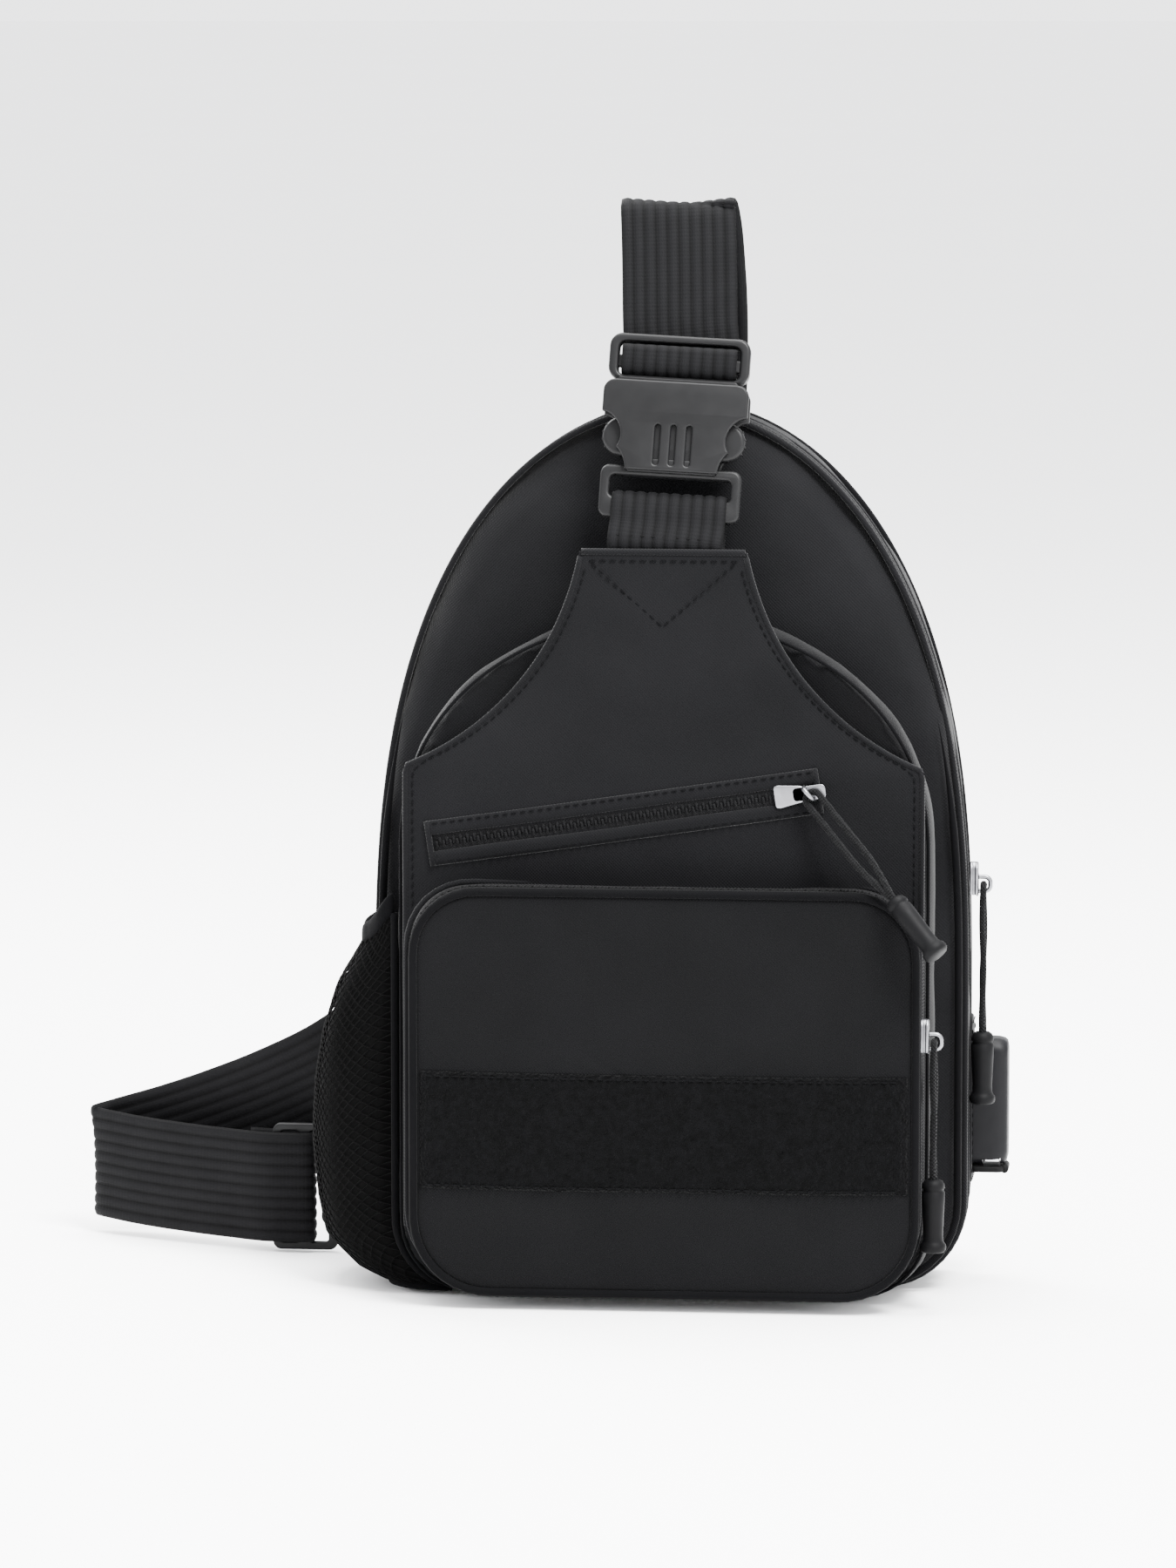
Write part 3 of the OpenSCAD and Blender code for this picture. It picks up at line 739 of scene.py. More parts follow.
def pipings():
    """Round pipings along the seams of both compartments."""
    main = tube_along("body_piping", outline(arch(**BODY, grow=-1.5), 180), -0.9,
                      lambda t: 1.35 * min(1.0, 0.05 + 14 * t, 0.05 + 14 * (1 - t)), "piping", z_max=196)
    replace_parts(main, "front_piping")
    tube_along("front_compartment_piping", outline(arch(**FRONT, grow=-0.6), 180), -22.9, 0.6, "piping")
    tube_along("back_piping", outline(arch(**BODY, grow=-0.7), 200), 42.4, 1.6, "piping")


# ---------------------------------------------------------------- zips
def coil(name, path, outward, body="bag", pitch=1.15, half=1.6):
    """Two rows of small moulded coils that mesh along a zip's middle."""
    points, faces = [], []
    total = sum((b - a).length for a, b in zip(path, path[1:]))
    spots = evenly(path, int(total / pitch), closed=False)
    for i in range(1, len(spots) - 1):
        at = spots[i]
        along = (spots[i + 1] - spots[i - 1]).normalized()
        out = outward(at).normalized()
        across = along.cross(out).normalized()
        side = 1 if i % 2 else -1
        line = [at + across * side * half * t + out * h for t, h in ((1, 0), (0.8, 0.75), (0.2, 0.95), (-0.35, 0.5))]
        base = len(points)
        points += tube_points(line, lambda t: 0.46 - 0.08 * t, 6)
        faces += [tuple(base + v for v in face) for face in bridge_rings(4, 6)]
    return mesh_piece(name, points, faces, "zip_tape", body)


def tape(name, path, outward, width, lift, thickness, body="bag"):
    """Flat woven tape that follows a path, with a slot down its middle."""
    points, faces, n = [], [], len(path)
    for sign in (-1, 1):
        base = len(points)
        for i, at in enumerate(path):
            along = (path[min(i + 1, n - 1)] - path[max(i - 1, 0)]).normalized()
            out = outward(at).normalized()
            across = along.cross(out).normalized()
            for t, h in ((0.35, 0.2), (0.6, 0.9), (1.2, 1.0), (width / 2 - 0.5, 0.8), (width / 2, 0)):
                points.append(at + across * sign * t + out * (lift + thickness * h))
        for i in range(n - 1):
            for k in range(4):
                a = base + i * 5 + k
                faces.append((a, a + 1, a + 6, a + 5))
    obj = mesh_piece(name, points, faces, "zip_tape", body)
    thicken(obj, 0.5)
    return obj


def slant(u, v):
    """The (x, z) of a place given along and across the slanted opening."""
    a = math.radians(SLANT_DEGREES)
    return SLANT_X + u * math.cos(a) - v * math.sin(a), SLANT_Z + u * math.sin(a) + v * math.cos(a)


def slanted_zip():
    """Folded welt, tape, coil and end stitching of the slanted opening."""
    def on_panel(u, v, proud):
        x, z = slant(u, v)
        return Vector((x, yoke_depth(x, z) - proud, z))

    columns = 70
    strips = []
    for sign, name in ((1, "upper"), (-1, "lower")):
        points = []
        profile = [(7.6, 0.7), (7.3, 1.3), (6.2, 1.75), (4.4, 1.8), (3.2, 1.75), (2.7, 1.2), (2.6, 0.4)]
        for i in range(columns + 1):
            u = lerp(-65.5, 65.5, i / columns)
            sag = 0.35 * math.sin(u / 11 + sign)
            for v, proud in profile:
                points.append(on_panel(u, sign * v + (0.3 * sag if abs(v) < 4 else 0), proud + 0.12 * sag))
        strip = mesh_piece("slanted_welt_" + name, points, grid_faces(len(profile) - 1, columns), "nylon")
        thicken(strip, 0.6)
        strips.append(strip)
    for u in (-65.2, 64.6):
        route = [on_panel(u, v, 1.2) for v in (-7.4, -4, 0, 4, 7.4)]
        strips.append(tube("welt_end", route, 1.0, "nylon"))
    welt = joined("slanted_welt", *strips)
    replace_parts(welt, "diagonal_welt")

    path = [on_panel(u, 0, 0.35) for u in range(-64, 65, 2)]
    forward = lambda at: Vector((0, -1, 0))
    band = tape("slanted_zip_tape", path, forward, 9.5, 0.0, 0.45)
    coil("slanted_zip_coil", path, forward)
    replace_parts(band, "diagonal_zipper_tape")
    rows = [[on_panel(u, s * 6.6, 1.95) for u in range(-64, 65, 4)] for s in (-1, 1)]
    rows += [[on_panel(u, v, 1.6) for v in (-6.5, -2, 2, 6.5)] for u in (-63.4, 63)]
    stitches("slanted_welt_stitches", rows, pitch=2.9, length=2.0, radius=0.26)


def main_zip():
    """Tape and coil over the right side and the dome, down to the netted pocket."""
    loop = outline(arch(**BODY, grow=0.2), 260)
    path = [Vector((x, MAIN_ZIP_Y, z)) for x, z in loop if z >= 28 and (x > 0 or z > 132)]
    out = lambda at: (Vector((1, 0, 0.0)) if at.z < 100 and at.x > 0 else
                      Vector((at.x / 98 ** 2, 0, (at.z - 100) / 194 ** 2)))
    band = tape("main_zip_tape", path, out, 11, 0.25, 0.7)
    coil("main_zip_coil", [p - out(p).normalized() * 0.2 for p in path], out)
    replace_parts(band, "main_zipper_tape")


def welt_rims():
    """Fabric lips on both sides of the main zip."""
    loop = outline(arch(**BODY, grow=0.4), 200)
    rims = [tube("rim", [Vector((x, y, z)) for x, z in loop], 1.15, "nylon", closed=True) for y in (5.4, 18.6)]
    joined("main_zip_lips", *rims)


# ---------------------------------------------------------------- lower front pocket
def pocket_loop(grow=0, count=128):
    """Outline of the lower pocket, with rounder corners below than above."""
    half, low, top, r_low, r_high = 84.5, 4.9, 139.5, 25, 21
    side = corner_arc(half - r_low, low + r_low, r_low + grow, -90, 12)
    side += corner_arc(half - r_high, top - r_high, r_high + grow, 0, 12)
    return outline([(0, low - grow)] + side + [(0, top + grow)] + [(-x, z) for x, z in reversed(side)], count)


POCKET_MIDDLE = 72
FACE_SHIFT = 1.9
# The middles of the pocket's upper corners, where its zip turns
TURN_X, TURN_Z = 63.5, 118.5


def face_depth(x, z):
    """How far forward the pocket's face lies: full in the middle, tight round its rim."""
    u, v = (x - FACE_SHIFT) / 81, (z - POCKET_MIDDLE) / 65
    full = max(0.0, 1 - abs(u) ** 3.2) * max(0.0, 1 - abs(v) ** 3.2)
    band = -0.7 * (near(z, 38.5, 2.2) + near(z, 81, 2.2))
    ripple = noise.noise(Vector((x / 34, z / 28, 7.7))) + 0.4 * noise.noise(Vector((x / 13, z / 17, 2.2)))
    return -44.6 - 3.4 * full - band * 0.8 - 1.0 * ripple * full


def front_pocket():
    """Sides with a recessed zip channel, a full face, piping, tape and coil."""
    rings = [(0.998, -25), (1.002, -28), (0.999, -30), (0.989, -31.5), (0.989, -35.5), (0.989, -39.5), (0.995, -41),
             (0.998, -42), (0.992, -43.6)]
    loop = pocket_loop()
    points = []
    for scale, y in rings:
        share = (-25 - y) / 18.6
        for x, z in loop:
            squeeze = 1 - 0.022 * share
            points.append((x * scale * squeeze + FACE_SHIFT * share, y,
                           POCKET_MIDDLE + (z - POCKET_MIDDLE) * scale * (1 - 0.012 * share)))
    sides = mesh_piece("front_pocket_sides", points, bridge_rings(len(rings), len(loop), False), "nylon")
    crumple(sides, 0.7, 20, 5, lambda co: 1 - near(co.y, -35.5, 7))
    thicken(sides, 1.4)
    soften(sides)
    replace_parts(sides, "pocket_gusset")

    scales = [1.0, 0.985, 0.96, 0.92, 0.86, 0.78, 0.68, 0.57, 0.45, 0.33, 0.21, 0.1, 0.03]
    points = []
    for scale in scales:
        for x, z in loop:
            px = x * 0.975 * scale + FACE_SHIFT
            pz = POCKET_MIDDLE + (z - POCKET_MIDDLE) * 0.983 * scale
            points.append((px, face_depth(px, pz) + (0.9 if scale == 1.0 else 0), pz))
    faces = bridge_rings(len(scales), len(loop), False) + [tuple(range((len(scales) - 1) * len(loop),
                                                                     len(scales) * len(loop)))]
    face = mesh_piece("front_pocket_face", points, faces, "nylon")
    # Painted shade: the lower pocket gets the darker copy of the nylon
    for piece in (face, sides):
        piece.data.materials[0] = LOOKS["nylon_painted_shade"]
    thicken(face, 1.2, -1)
    soften(face)
    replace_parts(face, "pocket_face")

    rim = [Vector((x * 0.981 + FACE_SHIFT, -44.4, POCKET_MIDDLE + (z - POCKET_MIDDLE) * 0.990)) for x, z in loop]
    piping = tube("front_pocket_piping", rim, 1.45, "piping", closed=True)
    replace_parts(piping, "pocket_piping")
    back_rim = [Vector((x * 1.004, -27.4, POCKET_MIDDLE + (z - POCKET_MIDDLE) * 1.004)) for x, z in loop]
    tube("front_pocket_base_seam", back_rim, 1.1, "nylon", closed=True)

    path = [Vector((x * 0.984 + FACE_SHIFT * 0.56, -35.5, POCKET_MIDDLE + (z - POCKET_MIDDLE) * 0.99))
            for x, z in loop if z > 36]
    cut = max(range(len(path)), key=lambda i: (path[i] - path[i - 1]).length)
    path = path[cut:] + path[:cut]

    def out(at):
        if at.z < TURN_Z:
            return Vector((math.copysign(1, at.x), 0, 0))
        if abs(at.x) < TURN_X:
            return Vector((0, 0, 1))
        return Vector((at.x - math.copysign(TURN_X, at.x), 0, at.z - TURN_Z))

    fine = evenly(path, 220, closed=False)
    band = tape("front_pocket_zip_tape", fine, out, 9, 0.1, 0.5)
    coil("front_pocket_zip_coil", fine, out)
    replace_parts(band, "pocket_zipper_tape")


def loop_band():
    """Loop-pile strip: a fuzzy, slightly uneven pad sewn along both long edges."""
    columns, rows = 200, 52
    points = []
    for j in range(rows + 1):
        z = lerp(40.2, 79.3, j / rows)
        for i in range(columns + 1):
            x = lerp(-78.6, 82.4, i / columns)
            edge = min(1.0, (0.5 - abs(j / rows - 0.5)) * 18, (0.5 - abs(i / columns - 0.5)) * 60)
            fuzz = noise.noise(Vector((x * 1.9, z * 1.9, 0))) + 0.7 * noise.noise(Vector((x * 4.3, z * 4.3, 3)))
            points.append((x, face_depth(x, z) - 0.35 - edge * (0.95 + 0.42 * fuzz), z))
    band = mesh_piece("loop_band", points, grid_faces(columns, rows), "loop_pile")
    thicken(band, 0.9, -1)
    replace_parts(band, "loop_panel")
    rows = [[Vector((x, face_depth(x, z) - 1.5, z)) for x in range(-77, 82, 3)] for z in (41.6, 77.9)]
    stitches("loop_band_stitches", rows, pitch=2.9, length=2.1, radius=0.3)


# ---------------------------------------------------------------- side pockets
NET_FRONT, NET_BACK = -19.5, 37.5
# Heights and how far from the bag's middle the netted pocket's outline lies there
REACH = [(0, 89.5), (3, 97), (7, 106), (17, 116.5), (30, 119.4), (48, 120.6), (68, 119.8), (86, 117.4), (103, 111.5),
         (113, 105), (121, 101), (136, 98)]


def reach_out(z):
    """How far from the bag's middle the netted pocket's outline lies at a height."""
    for (z0, x0), (z1, x1) in zip(REACH, REACH[1:]):
        if z <= z1:
            return lerp(x0, x1, (z - z0) / (z1 - z0))
    return REACH[-1][1]


def bag_side(half, corner, low, z):
    """Half width at a height of an outline with round lower corners."""
    drop = max(0.0, low + corner - z)
    return half - corner + math.sqrt(max(0.0, corner ** 2 - drop ** 2))


def netted_point(t, z):
    """On the netted pocket's wall: t from 0 at the front seam to 1 at the back seam."""
    y = lerp(NET_FRONT, NET_BACK, 0.5 - 0.5 * math.cos(math.pi * t))
    seam = lerp(bag_side(90, 24, 1.5, z), bag_side(98, 28, 1.5, z), t)
    bulge = (reach_out(z) - seam) * math.sin(math.pi * t) ** 0.62
    fold = 0.9 * noise.noise(Vector((t * 6, z / 22, 9.0))) + 0.8 * math.sin(t * 19 + z / 40) * ease(z, 60, 118)
    return Vector((-seam - bulge - fold * math.sin(math.pi * t), y, z))


def netted_rim(t):
    """Top of the netting: highest at its two seams."""
    return 117 + 14 * abs(2 * t - 1) ** 2.4


def mesh_pocket():
    """Diamond netting, a dark sheet behind it as painted shade for the pocket's inside, its bound rim and its seams.
    """
    across, rise = 46, 66
    spots, points, faces = {}, [], []
    for j in range(rise + 1):
        for i in range(across + 1):
            if (i + j) % 2 == 0:
                t = i / across
                spots[i, j] = len(points)
                points.append(netted_point(t, lerp(2, netted_rim(t), j / rise)))
    for j in range(rise + 1):
        for i in range(across + 1):
            if (i + j) % 2:
                around = [spots[k] for k in ((i - 1, j), (i, j - 1), (i + 1, j), (i, j + 1)) if k in spots]
                faces.append(tuple(around))
    net = mesh_piece("mesh_pocket_net", points, faces, "mesh")
    wire = net.modifiers.new("threads", "WIREFRAME")
    wire.thickness = 0.62 * MM
    wire.use_even_offset = False
    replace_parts(net, "mesh_pocket")

    # Painted shade: a dark sheet just inside the netting stands in for the shaded inside of the pocket
    across, rise = 30, 24
    points = [netted_point(i / across, lerp(2, netted_rim(i / across) + 0.5, j / rise)) + Vector(
        (1.3 * math.sin(math.pi * i / across), 1.1 * (0.5 - i / across), 0)) for j in range(rise + 1)
        for i in range(across + 1)]
    shade_sheet = mesh_piece("mesh_pocket_shade_sheet", points, grid_faces(across, rise), "mesh")
    thicken(shade_sheet, 0.4)

    rim = [netted_point(i / 60, netted_rim(i / 60)) for i in range(61)]
    points = []
    profile = [(-0.9, -3.4), (-1.15, 0), (-0.9, 3.2), (0, 3.9), (0.9, 3.2), (1.15, 0), (0.9, -3.4), (0, -3.9)]
    for at in rim:
        out = Vector((at.x + 60, (at.y - 9) * 1.4, 0)).normalized()
        points += [at + out * u + Vector((0, 0, v + 0.5)) for u, v in profile]
    binding = mesh_piece("mesh_pocket_binding", points, bridge_rings(61, 8), "piping")
    soften(binding)
    crumple(binding, 0.35, 9, 2)
    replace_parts(binding, "mesh_binding")
    sides = []
    for t in (0.0, 1.0):
        sides.append(tube("seam", [netted_point(t, z) for z in range(2, int(netted_rim(t)), 3)], 1.25, "piping"))
    sides.append(tube("seam", [netted_point(i / 30, 2.2) for i in range(31)], 1.2, "piping"))
    joined("mesh_pocket_seams", *sides)


# ---------------------------------------------------------------- charging outlet
PORT_AT, COVER_Z = (106.6, 29, 46.4), 37.7


def usb_outlet():
    """Cloth patch, moulded housing, metal socket and hinged rubber cover."""
    patch = mesh_piece("usb_patch_cloth", *slab(98.9, 99.5, 19.6, 38.4, 32.6, 89.4, 7, 1.3), "nylon")
    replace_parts(patch, "usb_patch")
    case = domed_box("usb_outlet_housing", 21.5, 36.5, 39, 82, 99.6, 112.2, "housing_plastic")
    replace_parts(case, "usb_housing")
    socket = flat_plate("usb_outlet_socket", [rounded_box(6.2, -2.7, 2.7, 0.8), rounded_box(5.4, -1.9, 1.9, 0.5)],
                        -6, 6, 0.2, "usb_metal", matrix=Matrix.Translation(PORT_AT) @ turn_port())
    tongue = flat_plate("tongue", [rounded_box(5.0, -0.9, 0.4, 0.3)], -5, 6, 0.15, "rubber",
                        matrix=Matrix.Translation(PORT_AT) @ turn_port())
    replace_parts(socket, "usb_socket")
    tongue.name = "usb_outlet_tongue"
    pin = [Vector((111.0, y, COVER_Z)) for y in (24.0, 27.3, 30.7, 34.0)]
    knuckle = tube("knuckle", pin, 1.4, "rubber", "usb_cover", 14)
    lid = flat_plate("lid", [rounded_box(7.2, -6.2, 5.2, 2.4)], -1, 1, 0.6, "rubber", body="usb_cover",
                     matrix=Matrix.Translation((105.6, 29, COVER_Z)) @ turn_port())
    cover = joined("usb_outlet_cover", lid, knuckle)
    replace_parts(cover, "usb_cover")
    rows = [[Vector((100.3, 19.6 + 18.8 * a, z)) for a in (0.1, 0.5, 0.9)] for z in (34.4, 87.6)]
    rows += [[Vector((100.3, y, z)) for z in (36, 60, 86)] for y in (21.0, 37.0)]
    stitches("usb_patch_stitches", rows, pitch=2.8, length=2.0, radius=0.28)


def turn_port():
    """Local x to the bag's y, local z to its x, and local y up."""
    return Matrix(((0, 0, 1, 0), (1, 0, 0, 0), (0, 1, 0, 0), (0, 0, 0, 1)))


def slab(x0, x1, y0, y1, z0, z1, radius, edge):
    """Points and faces of a plate in the (y, z) plane with round corners and a rolled rim."""
    half, middle = (y1 - y0) / 2, (y0 + y1) / 2
    loop = rounded_box(half, z0, z1, radius, 8)
    rings = [(0.0, x0 - 0.2), (0.0, x0 + edge * 0.5), (edge * 0.3, x0 + edge * 0.85), (edge, x0 + edge),
             (half * 0.8, x1 + edge * 0.4)]
    points = []
    for inset, x in rings:
        for y, z in loop:
            fy = 1 - inset / half
            points.append((x, middle + y * fy, (z0 + z1) / 2 + (z - (z0 + z1) / 2) * (1 - inset / ((z1 - z0) / 2))))
    return points, bridge_rings(len(rings), len(loop))


def domed_box(name, y0, y1, z0, z1, x0, x1, look):
    """Smooth plastic shell whose outer face is domed, as a moulded outlet has."""
    half, middle, mid_z, half_z = (y1 - y0) / 2, (y0 + y1) / 2, (z0 + z1) / 2, (z1 - z0) / 2
    loop = rounded_box(half, z0, z1, 5, 8)
    rings = [(1.0, 0.0), (1.0, 0.55), (0.985, 0.74), (0.93, 0.88), (0.84, 0.96), (0.6, 0.995), (0.3, 1.0),
             (0.02, 1.0)]
    points = [(x0 + (x1 - x0) * depth, middle + y * scale, mid_z + (z - mid_z) * (1 - (1 - scale) * half / half_z))
              for scale, depth in rings for y, z in loop]
    case = mesh_piece(name, points, bridge_rings(len(rings), len(loop)), look)
    port = mesh_piece("port_cut", [(x, y, z) for x in (103.6, 109.6) for y in (22.5, 35.5) for z in (38, 50)],
                      [(0, 1, 3, 2), (4, 6, 7, 5), (0, 4, 5, 1), (2, 3, 7, 6), (0, 2, 6, 4), (1, 5, 7, 3)], look)
    cut = case.modifiers.new("port", "BOOLEAN")
    cut.object = port
    cut.operation = "DIFFERENCE"
    cut.solver = "EXACT"
    settle(case)
    bpy.data.objects.remove(port)
    shade_by_angle(case, 45)
    return case


# ---------------------------------------------------------------- webbing
BUCKLE_AT, BUCKLE_TILT, BUCKLE_LEAN = (0.5, -21, 250), 3, -14


def leaned():
    """Frame of the buckle: x across, z up along the strap, y away from the viewer."""
    return Matrix.Translation(BUCKLE_AT) @ turned("Y", BUCKLE_TILT) @ turned("X", BUCKLE_LEAN)


def rib_profile(width, thickness):
    """Cross-section of webbing with lengthwise ribs, as (across, through)."""
    half, ribs = width / 2, 2 * round(width / 7.6)
    top = []
    for k in range(ribs * 4 + 1):
        s = k / (ribs * 4)
        swell = abs(math.sin(math.pi * ribs * s)) ** 0.5
        edge = min(1.0, min(s, 1 - s) * 22)
        top.append((lerp(-half, half, s), (thickness / 2 - 0.5 * (1 - swell)) * (0.35 + 0.65 * edge)))
    return top + [(x, -y) for x, y in reversed(top)]


def band_of_webbing(name, route, across, width=38, thickness=1.7, body="bag"):
    """Ribbed webbing along a route; across(i) is its width's direction there."""
    profile = rib_profile(width, thickness)
    points, uvs = [], []
    reach, n = 0.0, len(route)
    for i, at in enumerate(route):
        along = (route[min(i + 1, n - 1)] - route[max(i - 1, 0)]).normalized()
        if i:
            reach += (at - route[i - 1]).length
        side = across(i)
        side = (side - along * side.dot(along)).normalized()
        through = along.cross(side)
        for x, y in profile:
            points.append(at + side * x + through * y)
            uvs.append((reach * MM, x * MM))
    faces = bridge_rings(n, len(profile), False)
    size = len(profile)
    half = size // 2
    for end in (0, n - 1):
        base = end * size
        faces += [(base + k, base + k + 1, base + size - 2 - k, base + size - 1 - k) for k in range(half - 1)]
    return mesh_piece(name, points, faces, "webbing", body, uvs=uvs), reach


def strap_route():
    """Centreline of the shoulder strap and its width direction, from the buckle's bar to the adjuster."""
    to_world = leaned()
    at_bar = [(-3.35, 67), (-3.55, 63.5), (-3.1, 59.6), (-1.5, 57.9), (0.8, 57.7), (3.0, 58.8), (4.1, 62), (4.2, 68)]
    route = [(to_world @ Vector((0, y, z)), 0) for y, z in at_bar]
    over = [(3.2, 1.2, 322), (2.6, 5.2, 339), (2.0, 8.6, 353), (1.6, 10.6, 359.6), (1.5, 12.9, 361.7),
            (2.0, 15.2, 361.2), (2.8, 17.2, 357.5), (3.6, 20.4, 350)]
    route += [(Vector(p), 0) for p in over]
    down = [((4.2, 30, 328), 0), ((3.4, 42, 306), 0), ((1.8, 50, 288), 0), ((0, 51.6, 268), 1), ((-3, 51.6, 240), 2),
            ((-12, 51.6, 205), 8), ((-27, 51.6, 168), 17), ((-48, 51.6, 130), 27), ((-74, 52, 98), 38),
            ((-98, 55, 77), 48), ((-118, 61, 62), 56), ((-140, 70, 50), 62), ((-160, 78, 41), 68),
            ((-178, 84, 34), 73), ((-193, 88, 29), 78), ((-201.5, 88.9, 26.4), 84)]
    route += [(Vector(p), a) for p, a in down]
    low = [(-206.0, 87.6, 25.5), (-207.6, 85.4, 25), (-206.2, 82.9, 24.8), (-201, 79.6, 24.4), (-190, 73.5, 23.6),
           (-172, 65, 22.8), (-155, 57.6, 22.4), (-144, 52.9, 22.3), (-134, 52, 22.3), (-129.8, 52, 22.3),
           (-127.7, 53, 22.3), (-127.2, 55.5, 22.3), (-127.7, 58, 22.3), (-129.8, 59, 22.3), (-134, 59.6, 22.3),
           (-143, 60.8, 22.3), (-150, 62.6, 22.3)]
    return route + [(Vector(p), 90) for p in low]


STRAP_STEP = 3.0


def shoulder_strap():
    """The whole strap as one piece, between the bag and the buckle's male half; it is attached to no body."""
    stops = strap_route()
    route, turns = [], []
    path = [p for p, _ in stops]
    for i in range(len(stops) - 1):
        steps = max(2, int((path[i + 1] - path[i]).length / STRAP_STEP))
        p0, p1, p2, p3 = path[max(0, i - 1)], path[i], path[i + 1], path[min(len(path) - 1, i + 2)]
        d = (p2 - p1).length
        m1 = (p2 - p0) * (d / max(1e-6, (p2 - p1).length + (p1 - p0).length)) if i else p2 - p1
        m2 = (p3 - p1) * (d / max(1e-6, (p3 - p2).length + (p2 - p1).length)) if i + 2 < len(path) else p2 - p1
        for k in range(steps):
            t = k / steps
            route.append(p1 * (2 * t ** 3 - 3 * t ** 2 + 1) + m1 * (t ** 3 - 2 * t ** 2 + t)
                         + p2 * (3 * t ** 2 - 2 * t ** 3) + m2 * (t ** 3 - t ** 2))
            turns.append(lerp(stops[i][1], stops[i + 1][1], t))
    route.append(path[-1])
    turns.append(stops[-1][1])
    first = leaned().to_3x3() @ Vector((1, 0, 0))

    def across(i):
        a = math.radians(turns[i])
        side = Vector((math.cos(a), 0, -math.sin(a)))
        return first if turns[i] == 0 and i < 40 else side

    strap, length = band_of_webbing("shoulder_strap", route, across, body=None)
    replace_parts(strap, "strap_front", "strap_back", "strap_lower")
    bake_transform(strap)


def anchor_strap():
    """Short webbing from the Y-shaped panel round the female half's bar."""
    to_world = leaned()
    local = [(-3.3, 8), (-3.2, 12.5), (-2.4, 16.3), (0, 17.9), (2.4, 16.3), (3.2, 12.5), (3.3, 7), (3.4, 1)]
    rise = [(0.2, -23.3, 231), (0.2, -23.5, 240), (0.25, -24.0, 249), (0.3, -24.4, 253)]
    route = [Vector(p) for p in rise]
    route += [to_world @ Vector((0, y, z)) for y, z in local]
    route += [Vector((0.3, -18.9, 247)), Vector((0.2, -19.6, 240))]
    path = curve_through(route, 5)
    side = to_world.to_3x3() @ Vector((1, 0, 0))
    strap, length = band_of_webbing("anchor_strap", path, lambda i: side)
    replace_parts(strap, "anchor_webbing")
    rows = [[to_world @ Vector((x, -4.5, 3.2)) for x in (-18, -6, 6, 18)]]
    stitches("anchor_stitches", rows, look="webbing", pitch=2.6, length=1.9, radius=0.28)


TAB_Z = 22


def corner_tab():
    """Webbing tab sewn into the bag's lower corner, folded round the adjuster's bar."""
    route = [(-90, 44.4), (-99, 45.6), (-108, 49.3), (-116, 52.7), (-120.5, 52.9), (-123.3, 54.0), (-124.0, 55.6),
             (-123.2, 57.3), (-120.5, 58.1), (-116, 56.9), (-108, 51.6), (-99, 47.6), (-91, 46.2)]
    path = curve_through([(x, y, TAB_Z) for x, y in route], 5)
    tab, length = band_of_webbing("corner_tab_webbing", path, lambda i: Vector((0, 0, 1)), width=24, thickness=1.5)
    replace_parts(tab, "corner_tab")


# ---------------------------------------------------------------- buckle and adjuster
def half_width(z):
    """Half the female half's width at a height: drawn in at the waist, open at the arms."""
    half = 24.0
    if abs(z - 25) < 10:
        half = min(half, 25.3 - math.sqrt(100 - (z - 25) ** 2))
    if abs(z - 36.5) < 7.6:
        half = min(half, 25 - math.sqrt(57.8 - (z - 36.5) ** 2))
    if z > 51:
        half = min(half, 20 + math.sqrt(max(0.0, 16 - (z - 51) ** 2)))
    return half


def buckle_plate(body, loops, y0, y1, bevel, segments=3):
    """A rounded plate in the buckle's leaning frame."""
    return flat_plate("plate", loops, y0, y1, bevel, "buckle_plastic", body, leaned(), segments)


def buckle():
    """Female half in the bag's body, male half and the two arms in their own."""
    side = [(half_width(z), z) for z in [25 + 30 * k / 90 for k in range(91)]]
    shape = side + [(-x, z) for x, z in reversed(side)]
    slots = [rounded_box(0.85, 27, 40.5, 0.8, 4, x) for x in (-5.2, 0, 5.2)]
    ring = [rounded_box(23.3, 9.4, 27, 3.2), rounded_box(20, 16.4, 23.6, 1.6)]
    plates = [buckle_plate("bag", [shape] + slots, -6.1, -3.9, 0.75, 4),
              buckle_plate("bag", [[(x * 0.985, z) for x, z in shape]], -4.3, -3.2, 0.3),
              buckle_plate("bag", [shape], 3.3, 5.7, 0.75),
              buckle_plate("bag", [rounded_box(14.8, 24.6, 29, 1)], -5, 5, 0.4),
              buckle_plate("bag", ring, -2.7, 2.7, 1.1)]
    plates += [buckle_plate("bag", [rounded_box(0.9, 28, 49, 0.4, 3, x)], -3.6, 3.6, 0.2) for x in (-7.2, 7.2)]
    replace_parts(joined("buckle_female_shell", *plates), "buckle_female")

    male = "buckle_male"
    loops = [rounded_box(23.3, 55.4, 71, 4.2), rounded_box(20, 57, 68.2, 2.2)]
    plates = [buckle_plate(male, loops, -2.6, 2.6, 1.1, 4),
              buckle_plate(male, [rounded_box(20.4, 59.7, 63.8, 0.6)], -1.7, 1.7, 0.6),
              buckle_plate(male, [rounded_box(20, 50, 56.4, 1.2)], -2.7, 2.7, 0.5),
              buckle_plate(male, [rounded_box(4.6, 31, 51.5, 2)], -2.4, 2.4, 0.6)]
    plates += [buckle_plate(male, [rounded_box(2.0, 48.6, 51, 0.8, 4, x)], -2.3, 2.3, 0.4) for x in (-15.5, 15.5)]
    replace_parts(joined("buckle_male_frame", *plates), male)
    for node in ("buckle_arm_left", "buckle_arm_right"):
        buckle_arm(node)


LOBE_X, LOBE_Z, LOBE_R = 16.7, 36.5, 6.9


